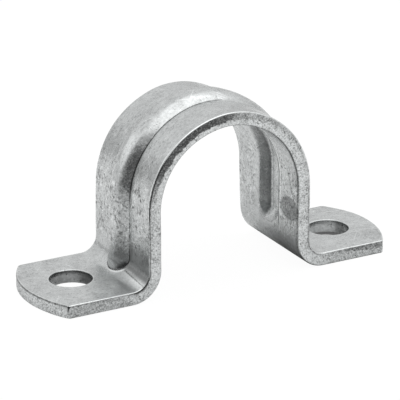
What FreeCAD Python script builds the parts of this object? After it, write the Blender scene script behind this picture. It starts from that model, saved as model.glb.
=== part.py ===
import FreeCAD, Part
import math
import os
from enum import IntEnum

import Sketcher
from FreeCAD import Vector

# An omega clamp: one strip of sheet steel, blanked, beaded and folded to hold a pipe down on a flat base.
# The origin is the middle of the base plane. X runs from foot to foot, Y across the strip and Z up.
# The pipe's axis is parallel to Y, at saddle_height above the base.

os.makedirs("parts", exist_ok=True)
doc = FreeCAD.newDocument("omega_clamp")

# Driving dimensions, in millimetres and degrees: alias, value and meaning.
DIMENSIONS = [
    ("strip_width", 25.4, "width of the sheet strip, along the pipe"),
    ("sheet_thickness", 3.0, "thickness of the sheet"),
    ("saddle_radius", 16.5, "inside radius of the arch, half of the pipe's outside diameter"),
    ("saddle_height", 19.3, "height of the arch's centre above the base"),
    ("foot_bend_radius", 3.7, "radius inside the bend between a leg and its foot"),
    ("foot_reach", 38.0, "distance from the middle to the corners of a foot"),
    ("foot_bulge", 4.1, "how far the curved end of a foot stands out past its corners"),
    ("corner_radius", 1.2, "plan radius of the feet's corners"),
    ("hole_spacing", 63.0, "distance between the two bolt holes"),
    ("hole_diameter", 9.3, "diameter of a bolt hole"),
    ("hole_rim_radius", 0.3, "rounding of a bolt hole's upper rim"),
    ("blank_edge_radius", 0.45, "rounding that blanking leaves along the edges inside and underneath"),
    ("bead_crown_radius", 5.4, "radius of the stiffening bead's crown, outside and in its groove"),
    ("bead_slope", 42.0, "slope of the bead's flanks against the sheet"),
    ("bead_flank", 0.75, "length of the straight part of each flank"),
    ("groove_lip_radius", 0.5, "rounding of the mouth of the bead's groove"),
    ("groove_end_gap", 0.3, "from the end of the groove's mouth to the start of the foot bend"),
    ("cutting_margin", 2.0, "how far a cutting outline runs past the material"),
]

sheet = doc.addObject("Spreadsheet::Sheet", "sizes")
for row, (alias, value, meaning) in enumerate(DIMENSIONS, start=1):
    sheet.set("A%d" % row, meaning)
    sheet.set("B%d" % row, str(value))
    sheet.setAlias("B%d" % row, alias)
doc.recompute()

# Sizes that follow from the driving ones, as expressions on the sheet.
THICKNESS = "sizes.sheet_thickness"
INNER_RADIUS = "sizes.saddle_radius"
OUTER_RADIUS = "(sizes.saddle_radius + sizes.sheet_thickness)"
BEND_OUTER_RADIUS = "(sizes.foot_bend_radius + sizes.sheet_thickness)"
FOOT_END = "(sizes.foot_reach + sizes.foot_bulge)"
HOLE_RADIUS = "(sizes.hole_diameter / 2)"
END_ARC_RADIUS = "((sizes.strip_width ^ 2 / 4 + sizes.foot_bulge ^ 2) / (2 * sizes.foot_bulge))"
SLOPE = "(sizes.bead_slope * 1 deg)"
CROWN_RADIUS = "sizes.bead_crown_radius"
FLANK_RISE = f"(sizes.bead_flank * sin({SLOPE}))"
FLANK_RUN = f"(sizes.bead_flank * cos({SLOPE}))"
BEAD_HEIGHT = f"({CROWN_RADIUS} * (1 - cos({SLOPE})) + {FLANK_RISE})"
BEAD_HALF_WIDTH = f"({CROWN_RADIUS} * sin({SLOPE}) + {FLANK_RUN})"
# The groove's mouth is sharp until its lips are rounded, which widens it by this much on each side.
LIP_SETBACK = f"(sizes.groove_lip_radius * tan({SLOPE} / 2))"
GROOVE_TIP_HEIGHT = f"({BEND_OUTER_RADIUS} + {BEAD_HALF_WIDTH} + {LIP_SETBACK} + sizes.groove_end_gap)"

NEAR = 1e-4


class Point(IntEnum):
    """Where on a sketched line or arc a constraint takes hold."""

    START = 1
    END = 2
    CENTRE = 3


class Axis(IntEnum):
    """The sketch's own axes, as constraints count them."""

    ACROSS = -1
    UPRIGHT = -2


ORIGIN = (Axis.ACROSS, Point.START)


def value_of(expression):
    """The present value of an expression on the sheet, as a plain number."""
    value = sheet.evalExpression(expression)
    return float(getattr(value, "Value", value))


def origin_plane(body, role):
    """The body's own origin plane with that role."""
    return next(feature for feature in body.Origin.OriginFeatures if feature.Role == role)


class Drawing:
    """A sketch on one of the body's origin planes, raised along the plane's normal by an expression."""

    def __init__(self, body, name, role, height=None):
        self.sketch = body.newObject("Sketcher::SketchObject", name)
        self.sketch.AttachmentSupport = (origin_plane(body, role), [""])
        self.sketch.MapMode = "FlatFace"
        if height:
            self.sketch.setExpression("AttachmentOffset.Base.z", height)

    def line(self, x1, y1, x2, y2):
        return self.sketch.addGeometry(Part.LineSegment(Vector(x1, y1, 0), Vector(x2, y2, 0)), False)

    def arc(self, x, y, radius, first, last):
        circle = Part.Circle(Vector(x, y, 0), Vector(0, 0, 1), radius)
        return self.sketch.addGeometry(Part.ArcOfCircle(circle, first, last), False)

    def tie(self, kind, *references):
        self.sketch.addConstraint(Sketcher.Constraint(kind, *references))

    def size(self, kind, references, expression):
        """A dimension that follows the sheet."""
        index = self.sketch.addConstraint(Sketcher.Constraint(kind, *references, value_of(expression)))
        self.sketch.setExpression("Constraints[%d]" % index, expression)

    def joint(self, first, first_point, second, second_point, smooth=False):
        self.tie("Tangent" if smooth else "Coincident", first, first_point, second, second_point)


def draw_side_profile(body):
    """The clamp seen along the pipe: one closed outline of constant thickness, with its bends still sharp."""
    drawing = Drawing(body, "side_profile", "XZ_Plane")
    outer = value_of(OUTER_RADIUS)
    inner = value_of(INNER_RADIUS)
    thick = value_of(THICKNESS)
    centre = value_of("sizes.saddle_height")
    end = value_of(FOOT_END)

    right_foot_top = drawing.line(end, thick, outer, thick)
    right_leg_outside = drawing.line(outer, thick, outer, centre)
    arch_outside = drawing.arc(0, centre, outer, 0, math.pi)
    left_leg_outside = drawing.line(-outer, centre, -outer, thick)
    left_foot_top = drawing.line(-outer, thick, -end, thick)
    left_end = drawing.line(-end, thick, -end, 0)
    left_foot_bottom = drawing.line(-end, 0, -inner, 0)
    left_leg_inside = drawing.line(-inner, 0, -inner, centre)
    arch_inside = drawing.arc(0, centre, inner, 0, math.pi)
    right_leg_inside = drawing.line(inner, centre, inner, 0)
    right_foot_bottom = drawing.line(inner, 0, end, 0)
    right_end = drawing.line(end, 0, end, thick)

    outline = [
        right_foot_top, right_leg_outside, arch_outside, left_leg_outside, left_foot_top, left_end,
        left_foot_bottom, left_leg_inside, arch_inside, right_leg_inside, right_foot_bottom, right_end,
    ]
    for piece, following in zip(outline, outline[1:] + outline[:1]):
        leaves = Point.START if piece == arch_inside else Point.END
        arrives = Point.END if following == arch_inside else Point.START
        drawing.joint(piece, leaves, following, arrives)

    for level in (right_foot_top, left_foot_top, left_foot_bottom, right_foot_bottom):
        drawing.tie("Horizontal", level)
    for leg_face in (right_leg_outside, left_leg_outside, left_leg_inside, right_leg_inside):
        drawing.tie("Vertical", leg_face)
    for end_face in (left_end, right_end):
        drawing.tie("Vertical", end_face)
    for arch, radius in ((arch_outside, OUTER_RADIUS), (arch_inside, INNER_RADIUS)):
        drawing.tie("PointOnObject", arch, Point.CENTRE, Axis.UPRIGHT)
        drawing.tie("Horizontal", arch, Point.START, arch, Point.CENTRE)
        drawing.tie("Horizontal", arch, Point.END, arch, Point.CENTRE)
        drawing.size("DistanceY", (*ORIGIN, arch, Point.CENTRE), "sizes.saddle_height")
        drawing.size("Radius", (arch,), radius)
    for foot_top in (right_foot_top, left_foot_top):
        drawing.size("DistanceY", (*ORIGIN, foot_top, Point.START), THICKNESS)
    for foot_bottom in (right_foot_bottom, left_foot_bottom):
        drawing.tie("PointOnObject", foot_bottom, Point.START, Axis.ACROSS)
    drawing.size("DistanceX", (*ORIGIN, right_foot_bottom, Point.END), FOOT_END)
    drawing.size("DistanceX", (left_foot_bottom, Point.START, *ORIGIN), FOOT_END)
    return drawing.sketch


def draw_end_waste(body):
    """The waste past the curved end of the right foot, seen from above."""
    drawing = Drawing(body, "end_waste", "XY_Plane")
    radius = value_of(END_ARC_RADIUS)
    side = value_of("sizes.strip_width / 2 + sizes.cutting_margin")
    apex = value_of(FOOT_END)
    past = apex + value_of("sizes.cutting_margin")
    turn = math.asin(side / radius)

    arc = drawing.arc(apex - radius, 0, radius, -turn, turn)
    corner = apex - radius + radius * math.cos(turn)
    far_side = drawing.line(corner, side, past, side)
    outside = drawing.line(past, side, past, -side)
    near_side = drawing.line(past, -side, corner, -side)

    drawing.joint(arc, Point.END, far_side, Point.START)
    drawing.joint(far_side, Point.END, outside, Point.START)
    drawing.joint(outside, Point.END, near_side, Point.START)
    drawing.joint(near_side, Point.END, arc, Point.START)
    drawing.tie("Horizontal", far_side)
    drawing.tie("Horizontal", near_side)
    drawing.tie("Vertical", outside)
    drawing.tie("PointOnObject", arc, Point.CENTRE, Axis.ACROSS)
    drawing.tie("Symmetric", arc, Point.START, arc, Point.END, Axis.ACROSS)
    drawing.size("Radius", (arc,), END_ARC_RADIUS)
    chord = "sizes.strip_width + 2 * sizes.cutting_margin"
    drawing.size("DistanceY", (arc, Point.START, arc, Point.END), chord)
    depth = f"{END_ARC_RADIUS} + sizes.cutting_margin"
    drawing.size("DistanceX", (arc, Point.CENTRE, outside, Point.START), depth)
    drawing.size("DistanceX", (*ORIGIN, outside, Point.START), f"{FOOT_END} + sizes.cutting_margin")
    return drawing.sketch


def draw_bolt_hole(body):
    """The right foot's round bolt hole, seen from above."""
    drawing = Drawing(body, "bolt_hole_outline", "XY_Plane")
    centre = Vector(value_of("sizes.hole_spacing / 2"), 0, 0)
    rim = Part.Circle(centre, Vector(0, 0, 1), value_of(HOLE_RADIUS))
    hole = drawing.sketch.addGeometry(rim)
    drawing.tie("PointOnObject", hole, Point.CENTRE, Axis.ACROSS)
    drawing.size("DistanceX", (*ORIGIN, hole, Point.CENTRE), "sizes.hole_spacing / 2")
    drawing.size("Diameter", (hole,), "sizes.hole_diameter")
    return drawing.sketch


def draw_bead_section(body, name, surface, base):
    """A section across the right leg at the arch's springing: a round crown between two straight flanks.

    The flanks start from the sheet's face at surface, and the outline is closed by a line at base.
    The ridge and its groove have the same section, so the sheet is thinner across the flanks.
    """
    drawing = Drawing(body, name, "XY_Plane", "sizes.saddle_height")
    slope = math.radians(value_of(SLOPE))
    radius = value_of(CROWN_RADIUS)
    face = value_of(surface)
    back = value_of(base)
    centre = face + value_of(BEAD_HEIGHT) - radius
    rise = value_of(FLANK_RISE)
    half = value_of(BEAD_HALF_WIDTH)
    shoulder = radius * math.sin(slope)

    crown = drawing.arc(centre, 0, radius, -slope, slope)
    far_flank = drawing.line(face + rise, shoulder, face, half)
    far_side = drawing.line(face, half, back, half)
    back_line = drawing.line(back, half, back, -half)
    near_side = drawing.line(back, -half, face, -half)
    near_flank = drawing.line(face, -half, face + rise, -shoulder)

    drawing.joint(crown, Point.END, far_flank, Point.START, smooth=True)
    drawing.joint(far_flank, Point.END, far_side, Point.START)
    drawing.joint(far_side, Point.END, back_line, Point.START)
    drawing.joint(back_line, Point.END, near_side, Point.START)
    drawing.joint(near_side, Point.END, near_flank, Point.START)
    drawing.joint(near_flank, Point.END, crown, Point.START, smooth=True)
    drawing.tie("Horizontal", far_side)
    drawing.tie("Horizontal", near_side)
    drawing.tie("Vertical", back_line)
    drawing.tie("PointOnObject", crown, Point.CENTRE, Axis.ACROSS)
    drawing.tie("Symmetric", near_flank, Point.START, far_flank, Point.END, Axis.ACROSS)
    drawing.size("Radius", (crown,), CROWN_RADIUS)
    drawing.size("DistanceX", (*ORIGIN, back_line, Point.START), base)
    drawing.size("DistanceX", (*ORIGIN, near_flank, Point.START), surface)
    drawing.size("DistanceX", (near_flank, Point.START, near_flank, Point.END), FLANK_RISE)
    drawing.size("DistanceY", (near_flank, Point.START, near_flank, Point.END), FLANK_RUN)
    return drawing.sketch


def draw_groove_tip_section(body):
    """Half of the groove's section, on the centre line of its rounded lower end."""
    drawing = Drawing(body, "groove_tip_section", "XY_Plane", GROOVE_TIP_HEIGHT)
    slope = math.radians(value_of(SLOPE))
    radius = value_of(CROWN_RADIUS)
    face = value_of(INNER_RADIUS)
    back = face - value_of("sizes.cutting_margin")
    centre = face + value_of(BEAD_HEIGHT) - radius
    rise = value_of(FLANK_RISE)
    half = value_of(BEAD_HALF_WIDTH)
    shoulder = radius * math.sin(slope)

    middle_line = drawing.line(back, 0, centre + radius, 0)
    crown = drawing.arc(centre, 0, radius, 0, slope)
    flank = drawing.line(face + rise, shoulder, face, half)
    side = drawing.line(face, half, back, half)
    back_line = drawing.line(back, half, back, 0)

    drawing.joint(middle_line, Point.END, crown, Point.START)
    drawing.joint(crown, Point.END, flank, Point.START, smooth=True)
    drawing.joint(flank, Point.END, side, Point.START)
    drawing.joint(side, Point.END, back_line, Point.START)
    drawing.joint(back_line, Point.END, middle_line, Point.START)
    drawing.tie("PointOnObject", middle_line, Point.START, Axis.ACROSS)
    drawing.tie("Horizontal", middle_line)
    drawing.tie("Horizontal", side)
    drawing.tie("Vertical", back_line)
    drawing.tie("PointOnObject", crown, Point.CENTRE, Axis.ACROSS)
    drawing.size("Radius", (crown,), CROWN_RADIUS)
    drawing.size("DistanceX", (*ORIGIN, back_line, Point.END), f"{INNER_RADIUS} - sizes.cutting_margin")
    drawing.size("DistanceX", (*ORIGIN, flank, Point.END), INNER_RADIUS)
    drawing.size("DistanceX", (flank, Point.END, flank, Point.START), FLANK_RISE)
    drawing.size("DistanceY", (flank, Point.START, flank, Point.END), FLANK_RUN)
    return drawing.sketch


def finish_feature(body, feature, gains):
    """Recomputes the feature and checks that it adds or removes material, as it should."""
    before = 0.0 if body.Shape.isNull() else body.Shape.Volume
    body.Tip = feature
    doc.recompute()
    change = body.Shape.Volume - before
    if change == 0 or (change > 0) != gains:
        raise RuntimeError("%s changes the volume by %.3f" % (feature.Name, change))
    return feature


def extrude(body, kind, name, sketch, length, reversed_way):
    """A pad or a pocket of the sketch."""
    feature = body.newObject(kind, name)
    feature.Profile = sketch
    feature.Reversed = reversed_way
    feature.setExpression("Length", length)
    return finish_feature(body, feature, gains=kind.endswith("Pad"))


def turn_about(body, kind, name, sketch, axis, degrees, reversed_way):
    """A revolution or a groove of the sketch about one of its own axes."""
    feature = body.newObject(kind, name)
    feature.Profile = sketch
    feature.ReferenceAxis = (sketch, [axis])
    feature.Angle = degrees
    feature.Reversed = reversed_way
    return finish_feature(body, feature, gains=kind.endswith("Revolution"))


def mirror_to_left(body, name, originals, gains):
    """The same features again on the left half."""
    feature = body.newObject("PartDesign::Mirrored", name)
    feature.Originals = originals
    feature.MirrorPlane = (origin_plane(body, "YZ_Plane"), [""])
    return finish_feature(body, feature, gains)


def round_edges(body, name, wanted, radius, gains):
    """A fillet on the edges of the body for which wanted(edge) holds."""
    base = body.Tip
    numbered = enumerate(base.Shape.Edges, start=1)
    names = ["Edge%d" % number for number, edge in numbered if wanted(edge)]
    if not names:
        raise RuntimeError("%s finds no edge" % name)
    feature = body.newObject("PartDesign::Fillet", name)
    feature.Base = (base, names)
    feature.setExpression("Radius", radius)
    return finish_feature(body, feature, gains)


def samples(edge):
    """Five points along an edge, its ends among them."""
    first, last = edge.ParameterRange
    return [edge.valueAt(first + (last - first) * step / 4) for step in range(5)]


def runs_along_y(edge):
    """Whether the edge is straight and crosses the strip."""
    return isinstance(edge.Curve, Part.Line) and abs(edge.Curve.Direction.y) > 1 - NEAR


def crease_test(distance, height):
    """A test for the sharp crease that crosses the strip at that distance from the middle and that height."""
    def wanted(edge):
        point = edge.CenterOfMass
        at_place = abs(abs(point.x) - distance) < NEAR and abs(point.z - height) < NEAR
        return runs_along_y(edge) and at_place
    return wanted


def on_inner_skin(point):
    """Whether a point lies on the face that blanking rounds: under the feet and inside the legs and arch."""
    inner = value_of(INNER_RADIUS)
    bend = value_of(BEND_OUTER_RADIUS)
    springing = value_of("sizes.saddle_height")
    side = abs(point.x)
    if point.z > springing:
        return abs(math.hypot(point.x, point.z - springing) - inner) < NEAR
    if point.z > bend:
        return abs(side - inner) < NEAR
    if side > inner + bend:
        return abs(point.z) < NEAR
    return abs(math.hypot(side - inner - bend, point.z - bend) - bend) < NEAR


def is_hole_rim(edge):
    """Whether the edge is a bolt hole's rim."""
    circle = edge.Curve
    return isinstance(circle, Part.Circle) and abs(circle.Radius - value_of(HOLE_RADIUS)) < NEAR


def is_corner(edge):
    """Whether the edge is an upright corner of a foot."""
    upright = isinstance(edge.Curve, Part.Line) and abs(edge.Curve.Direction.z) > 1 - NEAR
    return upright and abs(edge.CenterOfMass.x) > value_of("sizes.foot_reach") - NEAR


def is_blank_edge(edge):
    """Whether the edge bounds the inner and under face of the blank."""
    on_skin = all(on_inner_skin(point) for point in samples(edge))
    return on_skin and not runs_along_y(edge) and not is_hole_rim(edge)


def is_upper_rim(edge):
    """Whether the edge is a bolt hole's rim on the top of its foot."""
    return is_hole_rim(edge) and abs(edge.CenterOfMass.z - value_of(THICKNESS)) < NEAR


def is_groove_lip(edge):
    """Whether the edge bounds the mouth of the bead's groove."""
    half = value_of(BEAD_HALF_WIDTH) + NEAR
    return all(on_inner_skin(point) and abs(point.y) < half for point in samples(edge))


def fold_strip(body):
    """The flat-sided strip, folded: a pad of the side profile with its four bends rounded."""
    profile = draw_side_profile(body)
    strip = body.newObject("PartDesign::Pad", "folded_strip")
    strip.Profile = profile
    strip.Midplane = True
    strip.setExpression("Length", "sizes.strip_width")
    finish_feature(body, strip, gains=True)
    upper_crease = crease_test(value_of(OUTER_RADIUS), value_of(THICKNESS))
    round_edges(body, "bends_inside", upper_crease, "sizes.foot_bend_radius", gains=True)
    lower_crease = crease_test(value_of(INNER_RADIUS), 0)
    round_edges(body, "bends_outside", lower_crease, BEND_OUTER_RADIUS, gains=False)


def blank_feet(body):
    """What the blanking tool leaves: curved ends, bolt holes and rounded edges on one side."""
    waste = draw_end_waste(body)
    through = f"{THICKNESS} + sizes.cutting_margin"
    end_cut = extrude(body, "PartDesign::Pocket", "end_cut", waste, through, reversed_way=True)
    outline = draw_bolt_hole(body)
    hole = extrude(body, "PartDesign::Pocket", "bolt_hole", outline, through, reversed_way=True)
    mirror_to_left(body, "left_foot_cuts", [end_cut, hole], gains=False)
    round_edges(body, "foot_corners", is_corner, "sizes.corner_radius", gains=False)
    round_edges(body, "blank_edges", is_blank_edge, "sizes.blank_edge_radius", gains=False)
    round_edges(body, "hole_rims", is_upper_rim, "sizes.hole_rim_radius", gains=False)


def press_bead(body):
    """The stiffening bead: a ridge outside and its groove inside, over the arch and down both legs."""
    root = f"({OUTER_RADIUS} - {THICKNESS} / 4)"
    ridge = draw_bead_section(body, "ridge_section", OUTER_RADIUS, root)
    turn_about(
        body, "PartDesign::Revolution", "ridge_over_arch", ridge, "V_Axis", degrees=180, reversed_way=True)
    to_foot = f"sizes.saddle_height - {THICKNESS}"
    ridge_leg = extrude(body, "PartDesign::Pad", "ridge_down_leg", ridge, to_foot, reversed_way=True)
    mirror_to_left(body, "ridge_down_left_leg", [ridge_leg], gains=True)

    inside = f"({INNER_RADIUS} - sizes.cutting_margin)"
    groove = draw_bead_section(body, "groove_section", INNER_RADIUS, inside)
    turn_about(
        body, "PartDesign::Groove", "groove_over_arch", groove, "V_Axis", degrees=180, reversed_way=True)
    to_tip = f"sizes.saddle_height - {GROOVE_TIP_HEIGHT}"
    groove_leg = extrude(body, "PartDesign::Pocket", "groove_down_leg", groove, to_tip, reversed_way=False)
    tip = draw_groove_tip_section(body)
    groove_tip = turn_about(
        body, "PartDesign::Groove", "groove_tip", tip, "H_Axis", degrees=360, reversed_way=False)
    mirror_to_left(body, "groove_down_left_leg", [groove_leg, groove_tip], gains=False)
    round_edges(body, "groove_lips", is_groove_lip, "sizes.groove_lip_radius", gains=False)


def build_omega_strap():
    """The clamp's one piece."""
    body = doc.addObject("PartDesign::Body", "omega_strap")
    body.Label = "omega_strap"
    fold_strip(body)
    blank_feet(body)
    press_bead(body)
    body.Placement = FreeCAD.Placement()
    return body


sub_parts = [build_omega_strap()]
doc.recompute()

for item in doc.Objects:
    if "Invalid" in item.State or "Error" in item.State:
        raise RuntimeError("%s is in state %s" % (item.Label, item.State))
for sub_part in sub_parts:
    if sub_part.Shape.isNull() or not sub_part.Shape.isValid():
        raise RuntimeError("%s has no valid shape" % sub_part.Label)
for sub_part in sub_parts:
    sub_part.Shape.exportStep(os.path.join("parts", "%s.step" % sub_part.Label))
    print("%s: %d solid, volume %.1f mm3, box %s" % (
        sub_part.Label, len(sub_part.Shape.Solids), sub_part.Shape.Volume, sub_part.Shape.BoundBox))
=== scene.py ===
"""The omega clamp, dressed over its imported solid.

One piece stands for the strap: a flat blank of zinc-coated sheet, which a Geometry Nodes tree beads and folds
as the press does. Its sizes are the source's, in millimetres, and the finished mesh is in metres.
"""

import logging
import math
from dataclasses import dataclass, field
from enum import Enum, IntEnum

import bpy
import numpy as np
from mathutils import Matrix, Vector


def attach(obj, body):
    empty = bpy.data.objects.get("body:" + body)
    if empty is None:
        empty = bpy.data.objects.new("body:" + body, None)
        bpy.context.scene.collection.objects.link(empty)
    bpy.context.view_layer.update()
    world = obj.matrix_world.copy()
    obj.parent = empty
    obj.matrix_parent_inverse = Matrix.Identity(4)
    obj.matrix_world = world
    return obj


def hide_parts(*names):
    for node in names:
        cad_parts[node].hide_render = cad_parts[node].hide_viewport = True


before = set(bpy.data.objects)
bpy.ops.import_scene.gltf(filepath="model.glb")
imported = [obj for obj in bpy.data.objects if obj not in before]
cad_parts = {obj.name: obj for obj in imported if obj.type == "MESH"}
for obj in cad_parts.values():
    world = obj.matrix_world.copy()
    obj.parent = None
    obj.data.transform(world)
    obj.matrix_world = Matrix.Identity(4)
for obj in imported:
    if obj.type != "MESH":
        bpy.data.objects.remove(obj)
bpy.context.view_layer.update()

MM = 0.001
STRAP_NODE = "omega_strap"

Graph = tuple[tuple[float, float], ...]
Bounds = tuple[tuple[float, ...], ...]

log = logging.getLogger("omega_clamp")


class Face(IntEnum):
    """Which part of the sheet's surface a face of the mesh belongs to."""

    SHEET = 0
    CUT_EDGE = 1
    PUNCHED_WALL = 2


class Side(IntEnum):
    """The two ends of the strip, as the sign of the distance along it."""

    LEFT = -1
    RIGHT = 1


class Layer(Enum):
    """The names of the mesh attributes that the fold and the finishes read."""

    BLANK = "blank_place"
    # Besides the face kinds and the wear, these layers hold painted sheen, painted shade with the stain and
    # grit in it, painted shade with the stain's dulling in it, and painted highlights.
    PAINTED_SHEEN = "painted_sheen"
    FACE = "face_kind"
    SHADE_AND_GRIME = "painted_shade_and_grime"
    SHADE_AND_STAIN = "painted_shade_and_stain"
    SCUFF = "scuffing"
    PAINTED_HIGHLIGHT = "painted_highlight"
    MATT = "matt_patch"
    TORN_DEPTH = "torn_depth"
    TORN_SHADE = "torn_shade"


@dataclass(frozen=True)
class StrapSizes:
    """The strap's sizes in millimetres, as the source has them."""

    width: float = 25.4
    thickness: float = 3.0
    saddle_radius: float = 16.5
    saddle_height: float = 19.3
    bend_radius: float = 3.7
    foot_reach: float = 38.0
    foot_bulge: float = 4.1
    corner_radius: float = 1.2
    hole_spacing: float = 63.0
    hole_radius: float = 4.65
    hole_rim_radius: float = 0.2
    blank_edge_radius: float = 0.45
    crown_radius: float = 5.4
    bead_slope: float = math.radians(42.0)
    bead_flank: float = 0.75
    groove_lip_radius: float = 0.5
    groove_end_gap: float = 0.3

    @property
    def half_width(self) -> float:
        """Half of the strip's width."""
        return self.width / 2

    @property
    def middle_radius(self) -> float:
        """Radius of the sheet's middle layer over the arch."""
        return self.saddle_radius + self.thickness / 2

    @property
    def bend_outer_radius(self) -> float:
        """Radius of the under face round a foot bend."""
        return self.bend_radius + self.thickness

    @property
    def bead_height(self) -> float:
        """How far the bead stands out from the sheet."""
        rounding = self.crown_radius * (1 - math.cos(self.bead_slope))
        return rounding + self.bead_flank * math.sin(self.bead_slope)

    @property
    def bead_half_width(self) -> float:
        """Half of the bead's width at the sheet's outer face."""
        rounding = self.crown_radius * math.sin(self.bead_slope)
        return rounding + self.bead_flank * math.cos(self.bead_slope)

    @property
    def arch_end(self) -> float:
        """Length along the sheet from the top of the arch to its springing."""
        return self.middle_radius * math.pi / 2

    @property
    def leg_length(self) -> float:
        """Length of a straight leg."""
        return self.saddle_height - self.bend_outer_radius

    @property
    def leg_end(self) -> float:
        """Length along the sheet from the top of the arch to the start of a foot bend."""
        return self.arch_end + self.leg_length

    @property
    def bend_middle_radius(self) -> float:
        """Radius of the sheet's middle layer round a foot bend."""
        return self.bend_radius + self.thickness / 2

    @property
    def bend_end(self) -> float:
        """Length along the sheet from the top of the arch to the end of a foot bend."""
        return self.leg_end + self.bend_middle_radius * math.pi / 2

    @property
    def foot_start(self) -> float:
        """Distance from the middle at which a flat foot starts."""
        return self.saddle_radius + self.bend_outer_radius

    @property
    def groove_tip(self) -> float:
        """Length along the sheet to the centre of the groove's rounded end."""
        lip = self.groove_lip_radius * math.tan(self.bead_slope / 2)
        return self.leg_end - self.bead_half_width - lip - self.groove_end_gap

    @property
    def end_radius(self) -> float:
        """Radius of a foot's curved end."""
        return (self.half_width**2 + self.foot_bulge**2) / (2 * self.foot_bulge)


def rounding(radius: float, turn: float) -> tuple[float, float]:
    """Follows a rounded edge.

    Args:
        radius: The rounding's radius.
        turn: Degrees round it, from the face that it meets at 0 to the wall at 90.

    Returns:
        How far the edge stands back from the wall and from the face.
    """
    angle = math.radians(turn)
    return radius * (1 - math.sin(angle)), radius * (1 - math.cos(angle))


@dataclass
class SheetMesh:
    """The flat blank while it is put together: places along, across and through the sheet, in millimetres."""

    points: list[tuple[float, float, float]] = field(default_factory=list)
    # The painted sheen of each point: a painted highlight along rounded edges and rims.
    painted_sheen: list[float] = field(default_factory=list)
    faces: list[tuple[int, int, int, int]] = field(default_factory=list)
    kinds: list[int] = field(default_factory=list)

    def point(self, along: float, across: float, level: float, painted_sheen: float = 0.0) -> int:
        """Adds a point.

        Args:
            along: Place along the strip.
            across: Place across the strip.
            level: Height above the under face of the sheet.
            painted_sheen: How much painted highlight the point gets, from 0 to 1.

        Returns:
            The point's number.
        """
        self.points.append((along, across, level))
        self.painted_sheen.append(painted_sheen)
        return len(self.points) - 1

    def ladder(self, first: list[int], second: list[int], kinds: list[Face], closed: bool = False) -> None:
        """Joins two rows of points by faces.

        Args:
            first: Numbers of the one row's points.
            second: Numbers of the other row's points, as many.
            kinds: The kind of each face, in order.
            closed: Whether the last points join the first ones.
        """
        count = len(first) if closed else len(first) - 1
        for step in range(count):
            after = (step + 1) % len(first)
            self.faces.append((first[step], second[step], second[after], first[after]))
            self.kinds.append(int(kinds[step]))


@dataclass(frozen=True)
class ShearedEdge:
    """The section of a blanked edge: a blunted nose, a torn zone, a smooth zone and a rolled foot."""

    sizes: StrapSizes
    reach: float = 0.56
    nose: float = 0.24
    tear_depth: float = 0.06
    tear_share: float = 0.5

    def section(self) -> list[tuple[float, float, float]]:
        """Works out the section from the outer face to the under face.

        Returns:
            Inset from the outline, level above the under face and painted sheen of each point.
        """
        top = self.sizes.thickness
        roll = self.sizes.blank_edge_radius
        tear_end = top - self.tear_share * (top - roll)
        tear = top - self.nose - tear_end
        profile = [(self.reach, top, 0.0), (0.42, top, 0.0), (0.32, top, 0.1)]
        # The third numbers are painted sheen: a painted highlight, strongest where the rounded nose has
        # turned 40 to 60 degrees.
        for turn, painted_sheen in ((0, 0.5), (20, 0.9), (40, 1.0), (60, 1.0), (80, 0.6)):
            inset, depth = rounding(self.nose, turn)
            profile.append((inset, top - depth, painted_sheen))
        profile += [
            (0.00, top - 1.05 * self.nose, 0.2),
            (0.6 * self.tear_depth, top - self.nose - 0.12 * tear, 0.0),
            (self.tear_depth, top - self.nose - 0.3 * tear, 0.0),
            (self.tear_depth, top - self.nose - 0.6 * tear, 0.0),
            (0.7 * self.tear_depth, top - self.nose - 0.85 * tear, 0.0),
            (0.2 * self.tear_depth, tear_end, 0.1),
            (0.0, tear_end - 0.15, 0.1),
            (0.0, (tear_end + roll) / 2, 0.1),
        ]
        for turn in (90, 72, 54, 36, 18, 0):
            profile.append((*rounding(roll, turn), 0.2))
        profile.append((self.reach, 0.0, 0.0))
        return profile

    def kinds(self) -> list[Face]:
        """Sorts the section's faces.

        Returns:
            The kind of each face between two points of the section, from the outer face down.
        """
        top, roll = self.sizes.thickness - 0.5 * self.nose, 0.3 * self.sizes.blank_edge_radius
        section = self.section()
        return [
            Face.CUT_EDGE if start[1] < top and end[1] >= roll else Face.SHEET
            for start, end in zip(section, section[1:])
        ]


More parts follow.
